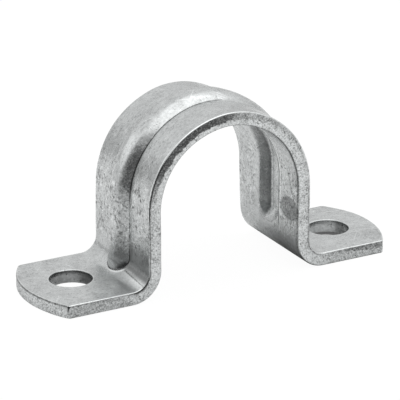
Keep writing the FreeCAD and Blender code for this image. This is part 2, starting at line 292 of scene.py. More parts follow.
@dataclass(frozen=True)
class FlatBlank:
    """The flat blank's mesh: a strip in rows, and a foot at each end, fanned round its bolt hole."""

    sizes: StrapSizes
    row_step: float = 0.3
    bend_step: float = 0.15
    outline_steps: int = 24
    corner_steps: int = 8
    foot_rings: int = 12
    ring_crowding: float = 1.15
    near_corner_radius: float = 0.6
    hole_slips: tuple[tuple[float, float], tuple[float, float]] = ((-0.2, 0.25), (0.1, -0.1))

    def columns(self) -> list[float]:
        """Spaces the points across the strip.

        Returns:
            Their places, closest together at the bead's creases.
        """
        crease = self.sizes.bead_half_width
        edge = self.sizes.half_width - ShearedEdge(self.sizes).reach
        bead = [0.0, 0.5, 1.0, 1.5, 2.0, 2.45, 2.85, 3.2, 3.45, 3.65, 3.82, 3.95, 4.04, 4.10, 4.14]
        flat = [4.20, 4.25, 4.33, 4.5, 4.8, 5.25, 5.8, 6.4, 7.1, 7.8, 8.5, 9.2, 9.9, 10.5, 11.0, 11.45]
        half = bead + [crease] + flat + [edge]
        return [-place for place in reversed(half[1:])] + half

    def rows(self) -> list[float]:
        """Spaces the rows along the strip.

        Returns:
            Their places from the left bend's end to the right bend's end.
        """
        arch = max(2, round(self.sizes.arch_end / self.row_step))
        leg = max(2, round(self.sizes.leg_length / self.row_step))
        bend = max(2, round((self.sizes.bend_end - self.sizes.leg_end) / self.bend_step))
        half = list(np.linspace(0, self.sizes.arch_end, arch, endpoint=False))
        half += list(np.linspace(self.sizes.arch_end, self.sizes.leg_end, leg, endpoint=False))
        half += list(np.linspace(self.sizes.leg_end, self.sizes.bend_end, bend + 1))
        return [-place for place in reversed(half[1:])] + half

    def half_outline(self, corner: float) -> list[tuple[float, float, float, float]]:
        """Follows the near half of a foot's outline from the bend line round to its tip.

        Args:
            corner: Radius of the corner.

        Returns:
            Distance from the bend line, place across, and the outward direction's two parts, of each point.
        """
        sizes = self.sizes
        half, radius = sizes.half_width, sizes.end_radius
        arc_centre = sizes.foot_reach + sizes.foot_bulge - radius - sizes.foot_start
        corner_across = half - corner
        corner_along = arc_centre + math.sqrt((radius - corner) ** 2 - corner_across**2)
        spread = math.asin(corner_across / (radius - corner))
        points = []
        for place in np.linspace(0, corner_along, self.outline_steps, endpoint=False):
            points.append((place, -half, 0.0, -1.0))
        for angle in np.linspace(-math.pi / 2, -spread, self.corner_steps, endpoint=False):
            out = (math.cos(angle), math.sin(angle))
            points.append((corner_along + corner * out[0], corner * out[1] - corner_across, *out))
        for angle in np.linspace(-spread, 0, self.outline_steps, endpoint=False):
            out = (math.cos(angle), math.sin(angle))
            points.append((arc_centre + radius * out[0], radius * out[1], *out))
        points.append((arc_centre + radius, 0.0, 1.0, 0.0))
        return points

    def outline(self) -> list[tuple[float, float, float, float]]:
        """A foot's whole outline, from the near end of the bend line round to its far end."""
        far = self.half_outline(self.sizes.corner_radius)[:-1]
        mirrored = [(along, -across, out_x, -out_y) for along, across, out_x, out_y in reversed(far)]
        return self.half_outline(self.near_corner_radius) + mirrored

    def hole_section(self) -> list[tuple[float, float, float]]:
        """Works out the section of a bolt hole's wall.

        Returns:
            Radius, level and painted sheen of each point, from the upper rim down.
        """
        top, radius, rim = self.sizes.thickness, self.sizes.hole_radius, self.sizes.hole_rim_radius
        # The third number of each point is painted sheen: a painted highlight, strongest on the rounded upper
        # rim and at the under rim.
        section = [(radius + 1.6 * rim, top, 0.1)]
        for turn in (0, 30, 60, 90):
            inset, depth = rounding(rim, turn)
            section.append((radius + inset, top - depth, 0.3))
        section += [
            (radius, 0.62 * top, 0.1),
            (radius, 0.50 * top, 0.1),
            (radius + 0.05, 0.42 * top, 0.0),
            (radius + 0.08, 0.2 * top, 0.0),
            (radius + 0.10, 0.05 * top, 0.1),
            (radius + 0.14, 0.0, 0.4),
            (radius + 1.6 * rim, 0.0, 0.1),
        ]
        return section

    def build_strip(self, mesh: SheetMesh) -> tuple[list[int], list[int]]:
        """Adds the strip between the two bend lines.

        Args:
            mesh: The blank so far.

        Returns:
            The points of the first and of the last row, in order round the strip's section.
        """
        edge = ShearedEdge(self.sizes)
        section, kinds = edge.section(), edge.kinds()
        columns = self.columns()
        half = self.sizes.half_width
        loop = [(place, self.sizes.thickness, 0.0) for place in columns]
        loop += [(half - inset, level, painted_sheen) for inset, level, painted_sheen in section[1:-1]]
        loop += [(place, 0.0, 0.0) for place in reversed(columns)]
        loop += [(inset - half, level, painted_sheen) for inset, level, painted_sheen in reversed(section[1:-1])]
        sheet = [Face.SHEET] * (len(columns) - 1)
        round_kinds = sheet + kinds + sheet + list(reversed(kinds))
        lines = [[mesh.point(row, *spot) for spot in loop] for row in self.rows()]
        for line, following in zip(lines, lines[1:]):
            mesh.ladder(line, following, round_kinds, closed=True)
        return lines[0], lines[-1]

    def build_foot(self, mesh: SheetMesh, side: Side, line: list[int]) -> None:
        """Adds a foot past a bend line.

        Args:
            mesh: The blank so far.
            side: Which foot.
            line: The strip's points on that bend line, in order round its section.
        """
        columns, edge = len(self.columns()), ShearedEdge(self.sizes)
        section, kinds = edge.section(), edge.kinds()
        inner = len(section) - 2
        outer_face = line[:columns]
        far_edge = line[columns : columns + inner]
        under_face = line[columns + inner : 2 * columns + inner]
        near_edge = line[2 * columns + inner :]
        start = self.sizes.bend_end

        def along(place: float) -> float:
            """The signed place along the strip of a point that far past the bend line."""
            return side * (start + place)

        outline = self.outline()
        # The foot's edge starts and ends with the strip's own points.
        walls = [[outer_face[0], *reversed(near_edge), under_face[-1]]]
        for place, across, out_x, out_y in outline[1:-1]:
            walls.append([
                mesh.point(along(place - inset * out_x), across - inset * out_y, level, painted_sheen)
                for inset, level, painted_sheen in section
            ])
        walls.append([outer_face[-1], *far_edge, under_face[0]])
        for wall, following in zip(walls, walls[1:]):
            pair = (following, wall) if side is Side.RIGHT else (wall, following)
            mesh.ladder(*pair, kinds)

        above = [wall[0] for wall in walls] + list(reversed(outer_face[1:-1]))
        below = [wall[-1] for wall in walls] + under_face[1:-1]
        slip = self.hole_slips[0 if side is Side.LEFT else 1]
        hole_along = start + self.sizes.hole_spacing / 2 - self.sizes.foot_start + slip[0]
        hole_across = slip[1]
        spokes = []
        for number in above:
            point_along, point_across, _ = mesh.points[number]
            reach = (side * point_along - hole_along, point_across - hole_across)
            length = math.hypot(*reach)
            spokes.append((reach[0] / length, reach[1] / length))

        def ring(places: list[tuple[float, float]], level: float, painted_sheen: float) -> list[int]:
            """Adds a ring of points, given as distances from the hole's centre."""
            return [mesh.point(side * (hole_along + x), hole_across + y, level, painted_sheen) for x, y in places]

        def between(rim: float, bounds: list[int], share: float) -> list[tuple[float, float]]:
            """Places a ring between the hole's rim and the foot's bounds.

            Args:
                rim: Radius of the rim.
                bounds: The points of the bounds, in order.
                share: How far out the ring lies, from 0 to 1.

            Returns:
                Distances from the hole's centre, in the order of the bounds.
            """
            places = []
            for spoke, number in zip(spokes, bounds):
                bound = (side * mesh.points[number][0] - hole_along, mesh.points[number][1] - hole_across)
                places.append(tuple(rim * part * (1 - share) + to * share for part, to in zip(spoke, bound)))
            return places

        hole = self.hole_section()
        shares = [(step / self.foot_rings) ** self.ring_crowding for step in range(1, self.foot_rings)]
        rings = [above]
        for share in reversed(shares):
            rings.append(ring(between(hole[0][0], above, share), self.sizes.thickness, 0.0))
        for radius, level, painted_sheen in hole:
            rings.append(ring([(radius * x, radius * y) for x, y in spokes], level, painted_sheen))
        for share in shares:
            rings.append(ring(between(hole[-1][0], below, share), 0.0, 0.0))
        rings.append(below)
        # The hole's wall lies between its rounded rim, which is four faces high, and its under rim.
        wall_from = self.foot_rings + 4
        wall_to = self.foot_rings + len(hole) - 2
        for number, (outside, inside) in enumerate(zip(rings, rings[1:])):
            kind = Face.PUNCHED_WALL if wall_from <= number < wall_to else Face.SHEET
            pair = (inside, outside) if side is Side.RIGHT else (outside, inside)
            mesh.ladder(*pair, [kind] * len(outside), closed=True)

    def build(self, name: str) -> bpy.types.Object:
        """Builds the blank, lying flat.

        Args:
            name: The object's name.

        Returns:
            The object, with the attributes that the fold and the finishes read.
        """
        mesh = SheetMesh()
        first, last = self.build_strip(mesh)
        self.build_foot(mesh, Side.LEFT, first)
        self.build_foot(mesh, Side.RIGHT, last)
        data = bpy.data.meshes.new(name)
        data.from_pydata([tuple(part * MM for part in point) for point in mesh.points], [], mesh.faces)
        # The painted sheen: a painted highlight along the rounded edges and rims.
        data.attributes.new(Layer.PAINTED_SHEEN.value, "FLOAT", "POINT").data.foreach_set("value", mesh.painted_sheen)
        data.attributes.new(Layer.FACE.value, "INT", "FACE").data.foreach_set("value", mesh.kinds)
        data.validate()
        blank = bpy.data.objects.new(name, data)
        bpy.context.scene.collection.objects.link(blank)
        return blank


@dataclass(frozen=True)
class Quantity:
    """A number that a node tree works out at each point, written as plain arithmetic."""

    tree: bpy.types.NodeTree
    socket: bpy.types.NodeSocket

    def math(self, operation: str, *others: "Quantity | float") -> "Quantity":
        """Applies a Math node.

        Args:
            operation: The Math node's operation.
            others: Its further operands, after this one.

        Returns:
            The result.
        """
        node = self.tree.nodes.new("ShaderNodeMath")
        node.operation = operation
        for slot, operand in zip(node.inputs, (self, *others)):
            if isinstance(operand, Quantity):
                self.tree.links.new(operand.socket, slot)
            else:
                slot.default_value = float(operand)
        return Quantity(self.tree, node.outputs[0])

    def __add__(self, other: "Quantity | float") -> "Quantity":
        """The sum."""
        return self.math("ADD", other)

    def __radd__(self, other: float) -> "Quantity":
        """The sum, with a plain number first."""
        return self.math("ADD", other)

    def __sub__(self, other: "Quantity | float") -> "Quantity":
        """The difference."""
        return self.math("SUBTRACT", other)

    def __rsub__(self, other: float) -> "Quantity":
        """The difference from a plain number."""
        return self.math("MULTIPLY_ADD", -1.0, other)

    def __mul__(self, other: "Quantity | float") -> "Quantity":
        """The product."""
        return self.math("MULTIPLY", other)

    def __rmul__(self, other: float) -> "Quantity":
        """The product, with a plain number first."""
        return self.math("MULTIPLY", other)

    def __truediv__(self, other: "Quantity | float") -> "Quantity":
        """The quotient."""
        return self.math("DIVIDE", other)

    def __abs__(self) -> "Quantity":
        """The number without its sign."""
        return self.math("ABSOLUTE")

    def most(self, *others: "Quantity | float") -> "Quantity":
        """Picks the greatest number.

        Args:
            others: The numbers to hold against this one.

        Returns:
            The greatest of this number and the others.
        """
        greatest = self
        for other in others:
            greatest = greatest.math("MAXIMUM", other)
        return greatest

    def clamp(self, low: float, high: "Quantity | float") -> "Quantity":
        """This number, held between two others."""
        return self.most(low).math("MINIMUM", high)

    def below(self, other: "Quantity | float") -> "Quantity":
        """1 where this number is less than the other, else 0."""
        return self.math("LESS_THAN", other)

    def blend(self, first: "Quantity | float", second: "Quantity | float") -> "Quantity":
        """The first number where this one is 0 and the second where it is 1."""
        return first + self * (second - first)

    def ease(self, low: float, high: float) -> "Quantity":
        """Goes smoothly from 0 at low to 1 at high.

        Args:
            low: Where the result is 0.
            high: Where it is 1. It may be less than low.

        Returns:
            The eased number.
        """
        node = self.tree.nodes.new("ShaderNodeMapRange")
        node.interpolation_type = "SMOOTHSTEP"
        self.tree.links.new(self.socket, node.inputs["Value"])
        node.inputs["From Min"].default_value = low
        node.inputs["From Max"].default_value = high
        return Quantity(self.tree, node.outputs["Result"])

    def line(self, core: float, reach: float) -> "Quantity":
        """1 where this number is within core of 0, fading to 0 where it is as far off as reach."""
        return 1.0 - abs(self).ease(core, reach)

    def graph(self, points: Graph, height: float = 1.0) -> "Quantity":
        """Looks this number up on a smooth curve.

        Args:
            points: The curve's points, by rising first number.
            height: The size, up or down, past which the curve is cut off.

        Returns:
            The curve's value.
        """
        low, high = points[0][0], points[-1][0]
        spots = [((place - low) / (high - low), 0.5 + 0.5 * value / height) for place, value in points]
        node = self.tree.nodes.new("ShaderNodeFloatCurve")
        curve = node.mapping.curves[0]
        curve.points[0].location, curve.points[1].location = spots[0], spots[-1]
        for spot in spots[1:-1]:
            curve.points.new(*spot)
        for point in curve.points:
            point.handle_type = "AUTO_CLAMPED"
        node.mapping.update()
        share = ((self - low) / (high - low)).clamp(0.0, 1.0)
        self.tree.links.new(share.socket, node.inputs["Value"])
        return (Quantity(self.tree, node.outputs[0]) - 0.5) * (2 * height)


class Zone(Enum):
    """The parts of the sheet that the marks of wear and the painted shade and highlights keep to."""

    OUTER_FACE = "outer face"
    INNER_FACE = "inner face"
    CUT_WALL = "sheared edges and hole walls"
    LEFT_HALF = "left half of the strip"
    NEAR_HALF = "near half of the strip"
    GROOVE = "inner face above the groove's right end"
    BEAD_END = "round end of the bead on the left foot"


LEFT_OUTER = (Zone.OUTER_FACE, Zone.LEFT_HALF)


@dataclass
class SheetPlace:
    """Where each point of the sheet lies.

    Its fields are the place along the strip in degrees round the arch, the place across it in millimetres,
    the height in the sheet from 0 at its under face to 1 at its outer face, the angle round the foot bend,
    and how far the bead stands above the sheet in millimetres, which is less than 0 past its creases.
    """

    degrees: Quantity
    across: Quantity
    share: Quantity
    bend: Quantity
    stand: Quantity
    zones: dict[Zone, Quantity] = field(init=False)

    def __post_init__(self) -> None:
        """Works out the zones."""
        inner_face = 1.0 - self.share.ease(0.03, 0.1)
        left_half = self.degrees.below(0.0)
        self.zones = {
            Zone.OUTER_FACE: self.share.ease(0.9, 0.97),
            Zone.INNER_FACE: inner_face,
            Zone.CUT_WALL: self.share.ease(0.03, 0.08) * self.share.ease(0.97, 0.93),
            Zone.LEFT_HALF: left_half,
            Zone.NEAR_HALF: self.across.below(0.0),
            Zone.GROOVE: (1.0 - self.degrees.ease(120.0, 133.0)) * inner_face,
            Zone.BEAD_END: self.bend.ease(0.75, 0.95) * left_half,
        }


@dataclass(frozen=True)
class Patch:
    """A mark with soft bounds in one or more of the ways in which a place on the sheet is told.

    A bound of two numbers is where the mark is nothing and where it is whole. One of three is a line's
    middle, the distance from it within which the mark is whole, and the distance at which it is nothing.
    """

    name: str
    strength: float
    zones: tuple[Zone, ...] = (Zone.OUTER_FACE,)
    degrees: Bounds = ()
    across: Bounds = ()
    share: Bounds = ()
    bend: Bounds = ()
    stand: Bounds = ()

    def amount(self, place: SheetPlace) -> Quantity:
        """Works out how strong the mark is.

        Args:
            place: Where each point of the sheet lies.

        Returns:
            The mark's strength at each point.
        """
        parts = [place.zones[zone] for zone in self.zones]
        for told, bounds in (
            (place.degrees, self.degrees),
            (place.across, self.across),
            (place.share, self.share),
            (place.bend, self.bend),
            (place.stand, self.stand),
        ):
            for bound in bounds:
                parts.append(told.ease(*bound) if len(bound) == 2 else (told - bound[0]).line(*bound[1:]))
        amount = parts[0] * self.strength
        for part in parts[1:]:
            amount = amount * part
        return amount


@dataclass(frozen=True)
class PressMarks:
    """How this clamp departs from the drawing, where it shows wear, and where shade and highlights are
    painted on it.

    Places are in degrees round the arch or in millimetres, and sizes in millimetres. The graphs give a value
    for a place in degrees. A fade is where an effect is nothing and where it is whole, across the strip.
    """

    seed: float = 7.0
    unevenness: float = 0.10
    lump_size: float = 9.0
    ripple_size: float = 2.2
    ripple_share: float = 0.16
    crisp_until: float = 5.0
    bead_height: Graph = (
        (-150, 0.26), (-90, 0.22), (-50, 0.06), (-15, -0.04), (5, -0.14), (20, -0.35), (35, -0.46),
        (50, -0.48), (75, -0.09), (110, 0.0), (150, 0.0),
    )
    bead_drift: Graph = (
        (-176, 0.4), (-160, 0.6), (-148, 1.15), (-138, 0.85), (-126, 0.45), (-95, 0.35), (-85, 0.12),
        (-60, 0.1), (-48, 0.2), (-24, 0.35), (-6, 0.43), (3, 0.43), (28, -0.2), (60, -0.1), (150, 0.0),
    )
    drift_fade: tuple[float, float] = (11.5, 5.5)
    far_edge_droop: Graph = (
        (-110, 0.0), (-90, 0.19), (-70, 0.36), (-50, 0.39), (-30, 0.45), (-10, 0.38), (10, 0.46),
        (30, 0.57), (50, 0.60), (70, 0.67), (90, 0.45), (110, 0.30), (135, 0.0),
    )
    droop_fade: tuple[float, float] = (4.0, 13.0)
    foot_skew: float = -0.008
    foot_growth: float = 0.25
    far_foot_dip: float = 0.25
    dip_fade: tuple[float, float] = (3.0, 12.0)
    groove_floor_rise: float = 0.08
    groove_floor_half_width: float = 1.9
    rolled_lip: Patch = Patch(
        "rolled lip round the bead's lower left end", 0.13, (Zone.LEFT_HALF,),
        across=((5.5, 3.5), (-5.5, -4.2)), bend=((0.6, 0.8),), stand=((-0.7, 0.05, 0.6),))
    # The next five give the holes' place for the painted shade on their walls, the places of the painted
    # notch shade and of the wider painted rim line, and the painted line along the fold.
    hole_place: float = 182.5
    notch_place: float = -203.6
    wide_rim_place: float = -147.0
    fold_line_bend: float = 0.70
    fold_line_slant: float = 0.0155
    stain_middle: tuple[float, float] = (109.0, -9.1)
    stain_reach: tuple[float, float] = (8.5, 4.1)
    scuffing: Graph = (
        (0, 0.15), (40, 0.25), (70, 0.50), (85, 0.9), (119, 0.9), (129, 0.20), (158, 0.1), (170, 0.2),
        (245, 0.3),
    )
    # The next two graphs set the painted dark lines along the outer and the inner rim of the near edge, which
    # also dim the rim's highlight.
    edge_line: Graph = (
        (-204, 0.6), (-170, 0.5), (-158, 0.6), (-152, 0.95), (-140, 0.95), (-130, 0.4), (-108, 0.4),
        (-96, 0.7), (-88, 1.0), (-60, 1.0), (-50, 0.3), (-40, 0.0), (92, 0.0), (104, 0.5), (140, 0.6),
        (150, 0.5), (158, 0.1), (172, 0.6), (204, 0.6),
    )
    inner_edge_line: Graph = (
        (-30, 0.0), (0, 0.2), (15, 0.5), (30, 0.7), (60, 0.9), (100, 0.75), (135, 0.55), (150, 0.3),
        (165, 0.0),
    )
    # The next three graphs set the painted shade line in the bead's near crease, how far it spreads, and the
    # painted shade on the near flank beside it.
    crease_dark: Graph = (
        (-150, 1.0), (-130, 0.95), (-120, 0.75), (-105, 0.58), (-96, 0.62), (-86, 0.9), (-75, 1.0),
        (-40, 0.95), (0, 0.8), (30, 0.5),
    )
    crease_spread: Graph = (
        (-150, 0.5), (-130, 0.3), (-120, 0.1), (-98, 0.1), (-80, 1.0), (-60, 0.8), (-40, 0.0), (30, 0.0),
    )
    flank_painted_shade: Graph = (
        (-160, 0.2), (-128, 0.45), (-118, 0.35), (-105, 0.12), (-96, 0.12), (-90, 0.25), (-84, 0.50),
        (-77, 0.78), (-58, 0.72), (-47, 0.2), (-38, 0.0), (0, 0.0),
    )
    torn_depth: Graph = (
        (-245, 0.35), (-160, 0.35), (-120, 0.35), (-95, 0.45), (-84, 0.8), (-72, 1.4), (-55, 1.75),
        (-30, 1.8), (5, 1.75), (22, 1.5), (45, 1.1), (90, 0.7), (150, 0.5), (162, 0.5), (180, 1.1),
        (200, 1.5), (245, 1.5),
    )
    torn_shade: Graph = (
        (-245, 0.6), (-155, 0.7), (-110, 0.4), (-90, 0.45), (-80, 0.65), (-68, 0.85), (-55, 1.0),
        (-12, 1.0), (-4, 0.95), (4, 0.75), (25, 0.66), (50, 0.5), (100, 0.25), (145, 0.35), (165, 0.6),
        (185, 0.75), (201, 0.72), (206, 0.3), (245, 0.3),
    )
    # Painted shade lines: a second crease, the tick across the crease where its highlight ends, and the line
    # over the left tip.
    shade_and_grime: tuple[Patch, ...] = (
        Patch(
            "second crease", 0.45,
            degrees=((-102.0, -106.0), (-128.0, -124.0)), across=((-4.95, 0.06, 0.2),)),
        Patch(
            "tick across the crease", 0.6,
            degrees=((crisp_until, 0.25, 0.8),), across=((-4.3, -4.0), (-3.0, -3.4))),
        Patch(
            "line over the left tip", 0.8, (),
            degrees=((-202.0, -204.5),), share=((0.84, 0.9), (1.0, 0.985))),
    )
    # Painted shade: low inside the right leg, where the left leg bends, in the crescent on the bead's end, on
    # the left leg's edge to dim its highlight, beside the left hole and in the groove.
    painted_shade: tuple[Patch, ...] = (
        Patch("shade low inside", 0.92, (Zone.INNER_FACE,), degrees=((118.0, 146.0),), across=((6.0, -6.0),)),
        Patch(
            "bead where the leg bends", 0.34, LEFT_OUTER,
            degrees=((-119.0, -129.0),), across=((4.2, 3.2),), bend=((0.92, 0.72),)),
        Patch(
            "near band where the leg bends", 0.55, LEFT_OUTER,
            degrees=((-110.0, -124.0),), across=((-4.0, -5.0),), bend=((0.82, 0.55),)),
        Patch(
            "crescent on the bead's end", 0.9, LEFT_OUTER,
            across=((-0.8, -2.9),), bend=((0.0, 0.45),), stand=((1.7, 0.3), (-0.05, 0.1))),
        Patch(
            "painted shade on the left leg's edge", 0.45, (),
            degrees=((-92.0, -100.0), (-151.0, -146.0)), across=((-12.25, -12.45),), share=((0.8, 0.9),)),
        Patch(
            "beside the left hole", 0.15,
            degrees=((-153.0, -158.0), (-174.0, -166.0)), across=((6.0, 1.0), (-9.0, -4.0))),
        Patch("line on the groove's floor", 0.3, (Zone.GROOVE,), across=((1.1, 0.08, 0.3),)),
        Patch("line along the groove's lip", 0.8, (Zone.GROOVE,), across=((-4.45, 0.1, 0.35),)),
    )
    # Painted highlights and painted light: on the left bend's corner, a wedge of the left foot, the bead's
    # shoulder, the near edge, the springing and the groove's lip.
    painted_highlight: tuple[Patch, ...] = (
        Patch(
            "corner of the left bend", 1.0, LEFT_OUTER,
            across=((-5.0, -11.5),), bend=((0.6, 0.9), (1.45, 1.15))),
        Patch(
            "wedge on the left foot", 0.5, LEFT_OUTER,
            degrees=((-148.0, -152.0), (-167.0, -160.0)), across=((-4.5, -8.0),)),
        Patch(
            "glint on the bead's shoulder", 0.7,
            degrees=((-76.0, -66.0), (-44.0, -54.0)), across=((-2.7, -1.8), (0.8, -0.4))),
        Patch(
            "glint on the near edge", 1.0,
            degrees=((-80.0, -72.0), (-44.0, -52.0)), across=((-12.15, -12.35),)),
        Patch("painted light at the springing", 0.5, degrees=((-85.0, 1.2, 6.0),), across=((-6.0, 0.36, 1.8),)),
        Patch("glint along the groove's lip", 0.9, (Zone.GROOVE,), across=((-4.9, 0.08, 0.3),)),
    )
    matt: Patch = Patch(
        "matt patch on the left foot", 1.0,
        degrees=((-140.0, -149.0), (-188.0, -172.0)), across=((-1.0, -5.0),))


@dataclass(frozen=True)
class WearAndPaintedLight:
    """Where the sheet is stained, gritty, scuffed, matt and torn, and where shade and highlights are painted
    on it.

    Its last field is how sharp the bead's creases are, from 0 to 1.
    """

    marks: PressMarks
    place: SheetPlace
    crisp: Quantity

    def patches(self, patches: tuple[Patch, ...]) -> list[Quantity]:
        """How strong each of the patches is."""
        return [patch.amount(self.place) for patch in patches]

    def creases(self) -> Quantity:
        """Works out the painted shade along the bead.

        Returns:
            The painted shade line in the near crease, the painted shade on the near flank beside it and the
            fine painted shade line at the fold past the bead's end.
        """
        place, zones = self.place, self.place.zones
        near_half, bead_end = zones[Zone.NEAR_HALF], zones[Zone.BEAD_END]
        # Painted shade: a dark line in the near crease, shade on the near flank and a dark line along the
        # fold.
        spread = place.degrees.graph(self.marks.crease_spread) * near_half + bead_end * 1.8 + 1.0
        crease = (place.stand / spread).line(0.04, 0.17) * self.crisp
        crease = crease * near_half.most(bead_end) * place.degrees.graph(self.marks.crease_dark)
        flank = place.degrees.graph(self.marks.flank_painted_shade) * place.across.ease(-1.4, -2.8)
        flank = flank * place.stand.ease(-0.05, 0.1)
        slanted = place.bend + place.across * self.marks.fold_line_slant
        fold_line = (slanted - self.marks.fold_line_bend).line(0.02, 0.06) * 0.7
        fold_line = fold_line * place.across.ease(-4.2, -4.8) * zones[Zone.LEFT_HALF]
        return crease.most(flank, fold_line) * zones[Zone.OUTER_FACE]

    def edges(self) -> Quantity:
        """Works out the dark lines and grit along the sheet's edges.

        Returns:
            The painted dark lines along the near edge's two rims, which also dim the rim's highlight, the
            painted shade of the notch at the left foot's corner and the feet's grit.
        """
        degrees, across, share = self.place.degrees, self.place.across, self.place.share
        wall = self.place.zones[Zone.CUT_WALL]
        # Painted dark lines along the rims and painted shade in the notch; the grit is the feet's own.
        wider = (degrees - self.marks.wide_rim_place).line(4.0, 10.0) * 0.12
        outer_rim = (share + wider).ease(0.82, 0.9) * across.ease(-12.60, -12.66)
        inner_rim = self.place.zones[Zone.INNER_FACE] * across.ease(-11.95, -12.3)
        gape = share.ease(0.65, 0.97) * 1.3 + 0.5
        notch = ((degrees - self.marks.notch_place) / gape).line(0.5, 1.1)
        notch = notch * across.ease(-12.0, -12.3) * share.ease(0.1, 0.85) * wall
        grit = wall * abs(degrees).ease(154.0, 162.0) * abs(across).ease(5.5, 6.5) * 0.36
        grit = grit * (1.0 - degrees.ease(-202.5, -205.0) * 0.85)
        outer_line = degrees.graph(self.marks.edge_line) * outer_rim
        return outer_line.most(degrees.graph(self.marks.inner_edge_line) * inner_rim, notch, grit)

    def stain(self) -> Quantity:
        """Works out the oval stain inside the right leg.

        Returns:
            1 in the stain and 0 outside it.
        """
        middle, reach = self.marks.stain_middle, self.marks.stain_reach
        along = (self.place.degrees - middle[0]) / reach[0]
        across = (self.place.across - middle[1]) / reach[1]
        return (1.0 - (along * along + across * across).ease(0.85, 1.05)) * self.place.zones[Zone.INNER_FACE]

    def groove_wall(self) -> Quantity:
        """The painted shade on the groove's far wall, in two strengths."""
        across = self.place.across
        # Painted shade on the groove's far wall.
        painted_shade = across.ease(4.7, 3.2) * 0.46 + across.ease(2.9, 2.0) * 0.2
        return across.ease(1.7, 2.0) * painted_shade * self.place.zones[Zone.GROOVE]

    def hole_walls(self) -> Quantity:
        """Works out the painted shade on the walls of the bolt holes.

        Returns:
            The painted shade, heavier near the upper rim, towards the wall's ends along the strip and in the
            left foot.
        """
        degrees, share, zones = self.place.degrees, self.place.share, self.place.zones
        off_hole = abs(abs(degrees) - self.marks.hole_place)
        in_hole = zones[Zone.CUT_WALL] * abs(self.place.across).below(6.0) * off_hole.below(16.0)
        # Painted shade on the hole walls.
        painted_shade = off_hole.ease(10.5, 14.6) * 0.5 + share.ease(0.8, 0.92) * 0.35 + zones[Zone.LEFT_HALF] * 0.3
        return in_hole * painted_shade.clamp(0.0, 0.7)

    def scuffing(self, stain: Quantity) -> Quantity:
        """Works out how scuffed the sheet is.

        Args:
            stain: Where the stain is.

        Returns:
            The scuffing, weaker inside the strap and in the stain.
        """
        across, zones = self.place.across, self.place.zones
        calm = across.ease(-4.6, -3.8) * (0.65 - across.ease(4.5, 6.5) * 0.4) * zones[Zone.INNER_FACE]
        scuff = abs(self.place.degrees).graph(self.marks.scuffing) * (1.0 - stain * 0.2) * (1.0 - calm)
        return zones[Zone.CUT_WALL].blend(scuff, zones[Zone.CUT_WALL] * 0.75)

    def glints(self) -> Quantity:
        """Works out the painted highlights that follow the bead.

        Returns:
            The painted highlight on the lip round its lower left end, brightest on the near side, and the
            painted bright line at its far crease.
        """
        place, zones = self.place, self.place.zones
        # Painted highlights round the bead's lower left end and along its far crease.
        lip = place.bend.ease(0.65, 0.80) * (place.stand + 0.95).line(0.15, 0.5)
        lip = lip * place.across.ease(7.5, 4.5) * place.across.ease(-5.5, -4.2)
        lip = lip * (place.across.ease(0.5, -1.0) * 0.8 + 0.2) * zones[Zone.LEFT_HALF]
        far_line = place.stand.line(0.03, 0.14) * (1.0 - zones[Zone.NEAR_HALF]) * (1.0 - zones[Zone.BEAD_END])
        return lip.most(far_line * place.degrees.below(-35.0) * 0.9) * zones[Zone.OUTER_FACE]

    def layers(self) -> dict[Layer, Quantity]:
        """Works out all of the wear and the painted shade and highlights.

        Returns:
            The amount of each kind of wear, painted shade and painted highlight, from 0 to 1, and the depth
            of the torn zone in millimetres.
        """
        marks, stain = self.marks, self.stain()
        return {
            # Painted shade lines with the stain and grit, painted shade with the stain's dulling, and painted
            # highlights.
            Layer.SHADE_AND_GRIME: self.creases().most(self.edges(), stain * 0.5, *self.patches(marks.shade_and_grime)),
            Layer.SHADE_AND_STAIN: self.groove_wall().most(self.hole_walls(), stain * 0.28, *self.patches(marks.painted_shade)),
            Layer.SCUFF: self.scuffing(stain),
            Layer.PAINTED_HIGHLIGHT: self.glints().most(*self.patches(marks.painted_highlight)),
            Layer.MATT: marks.matt.amount(self.place),
            Layer.TORN_DEPTH: self.place.degrees.graph(marks.torn_depth, 2.0),
            Layer.TORN_SHADE: self.place.degrees.graph(marks.torn_shade),
        }


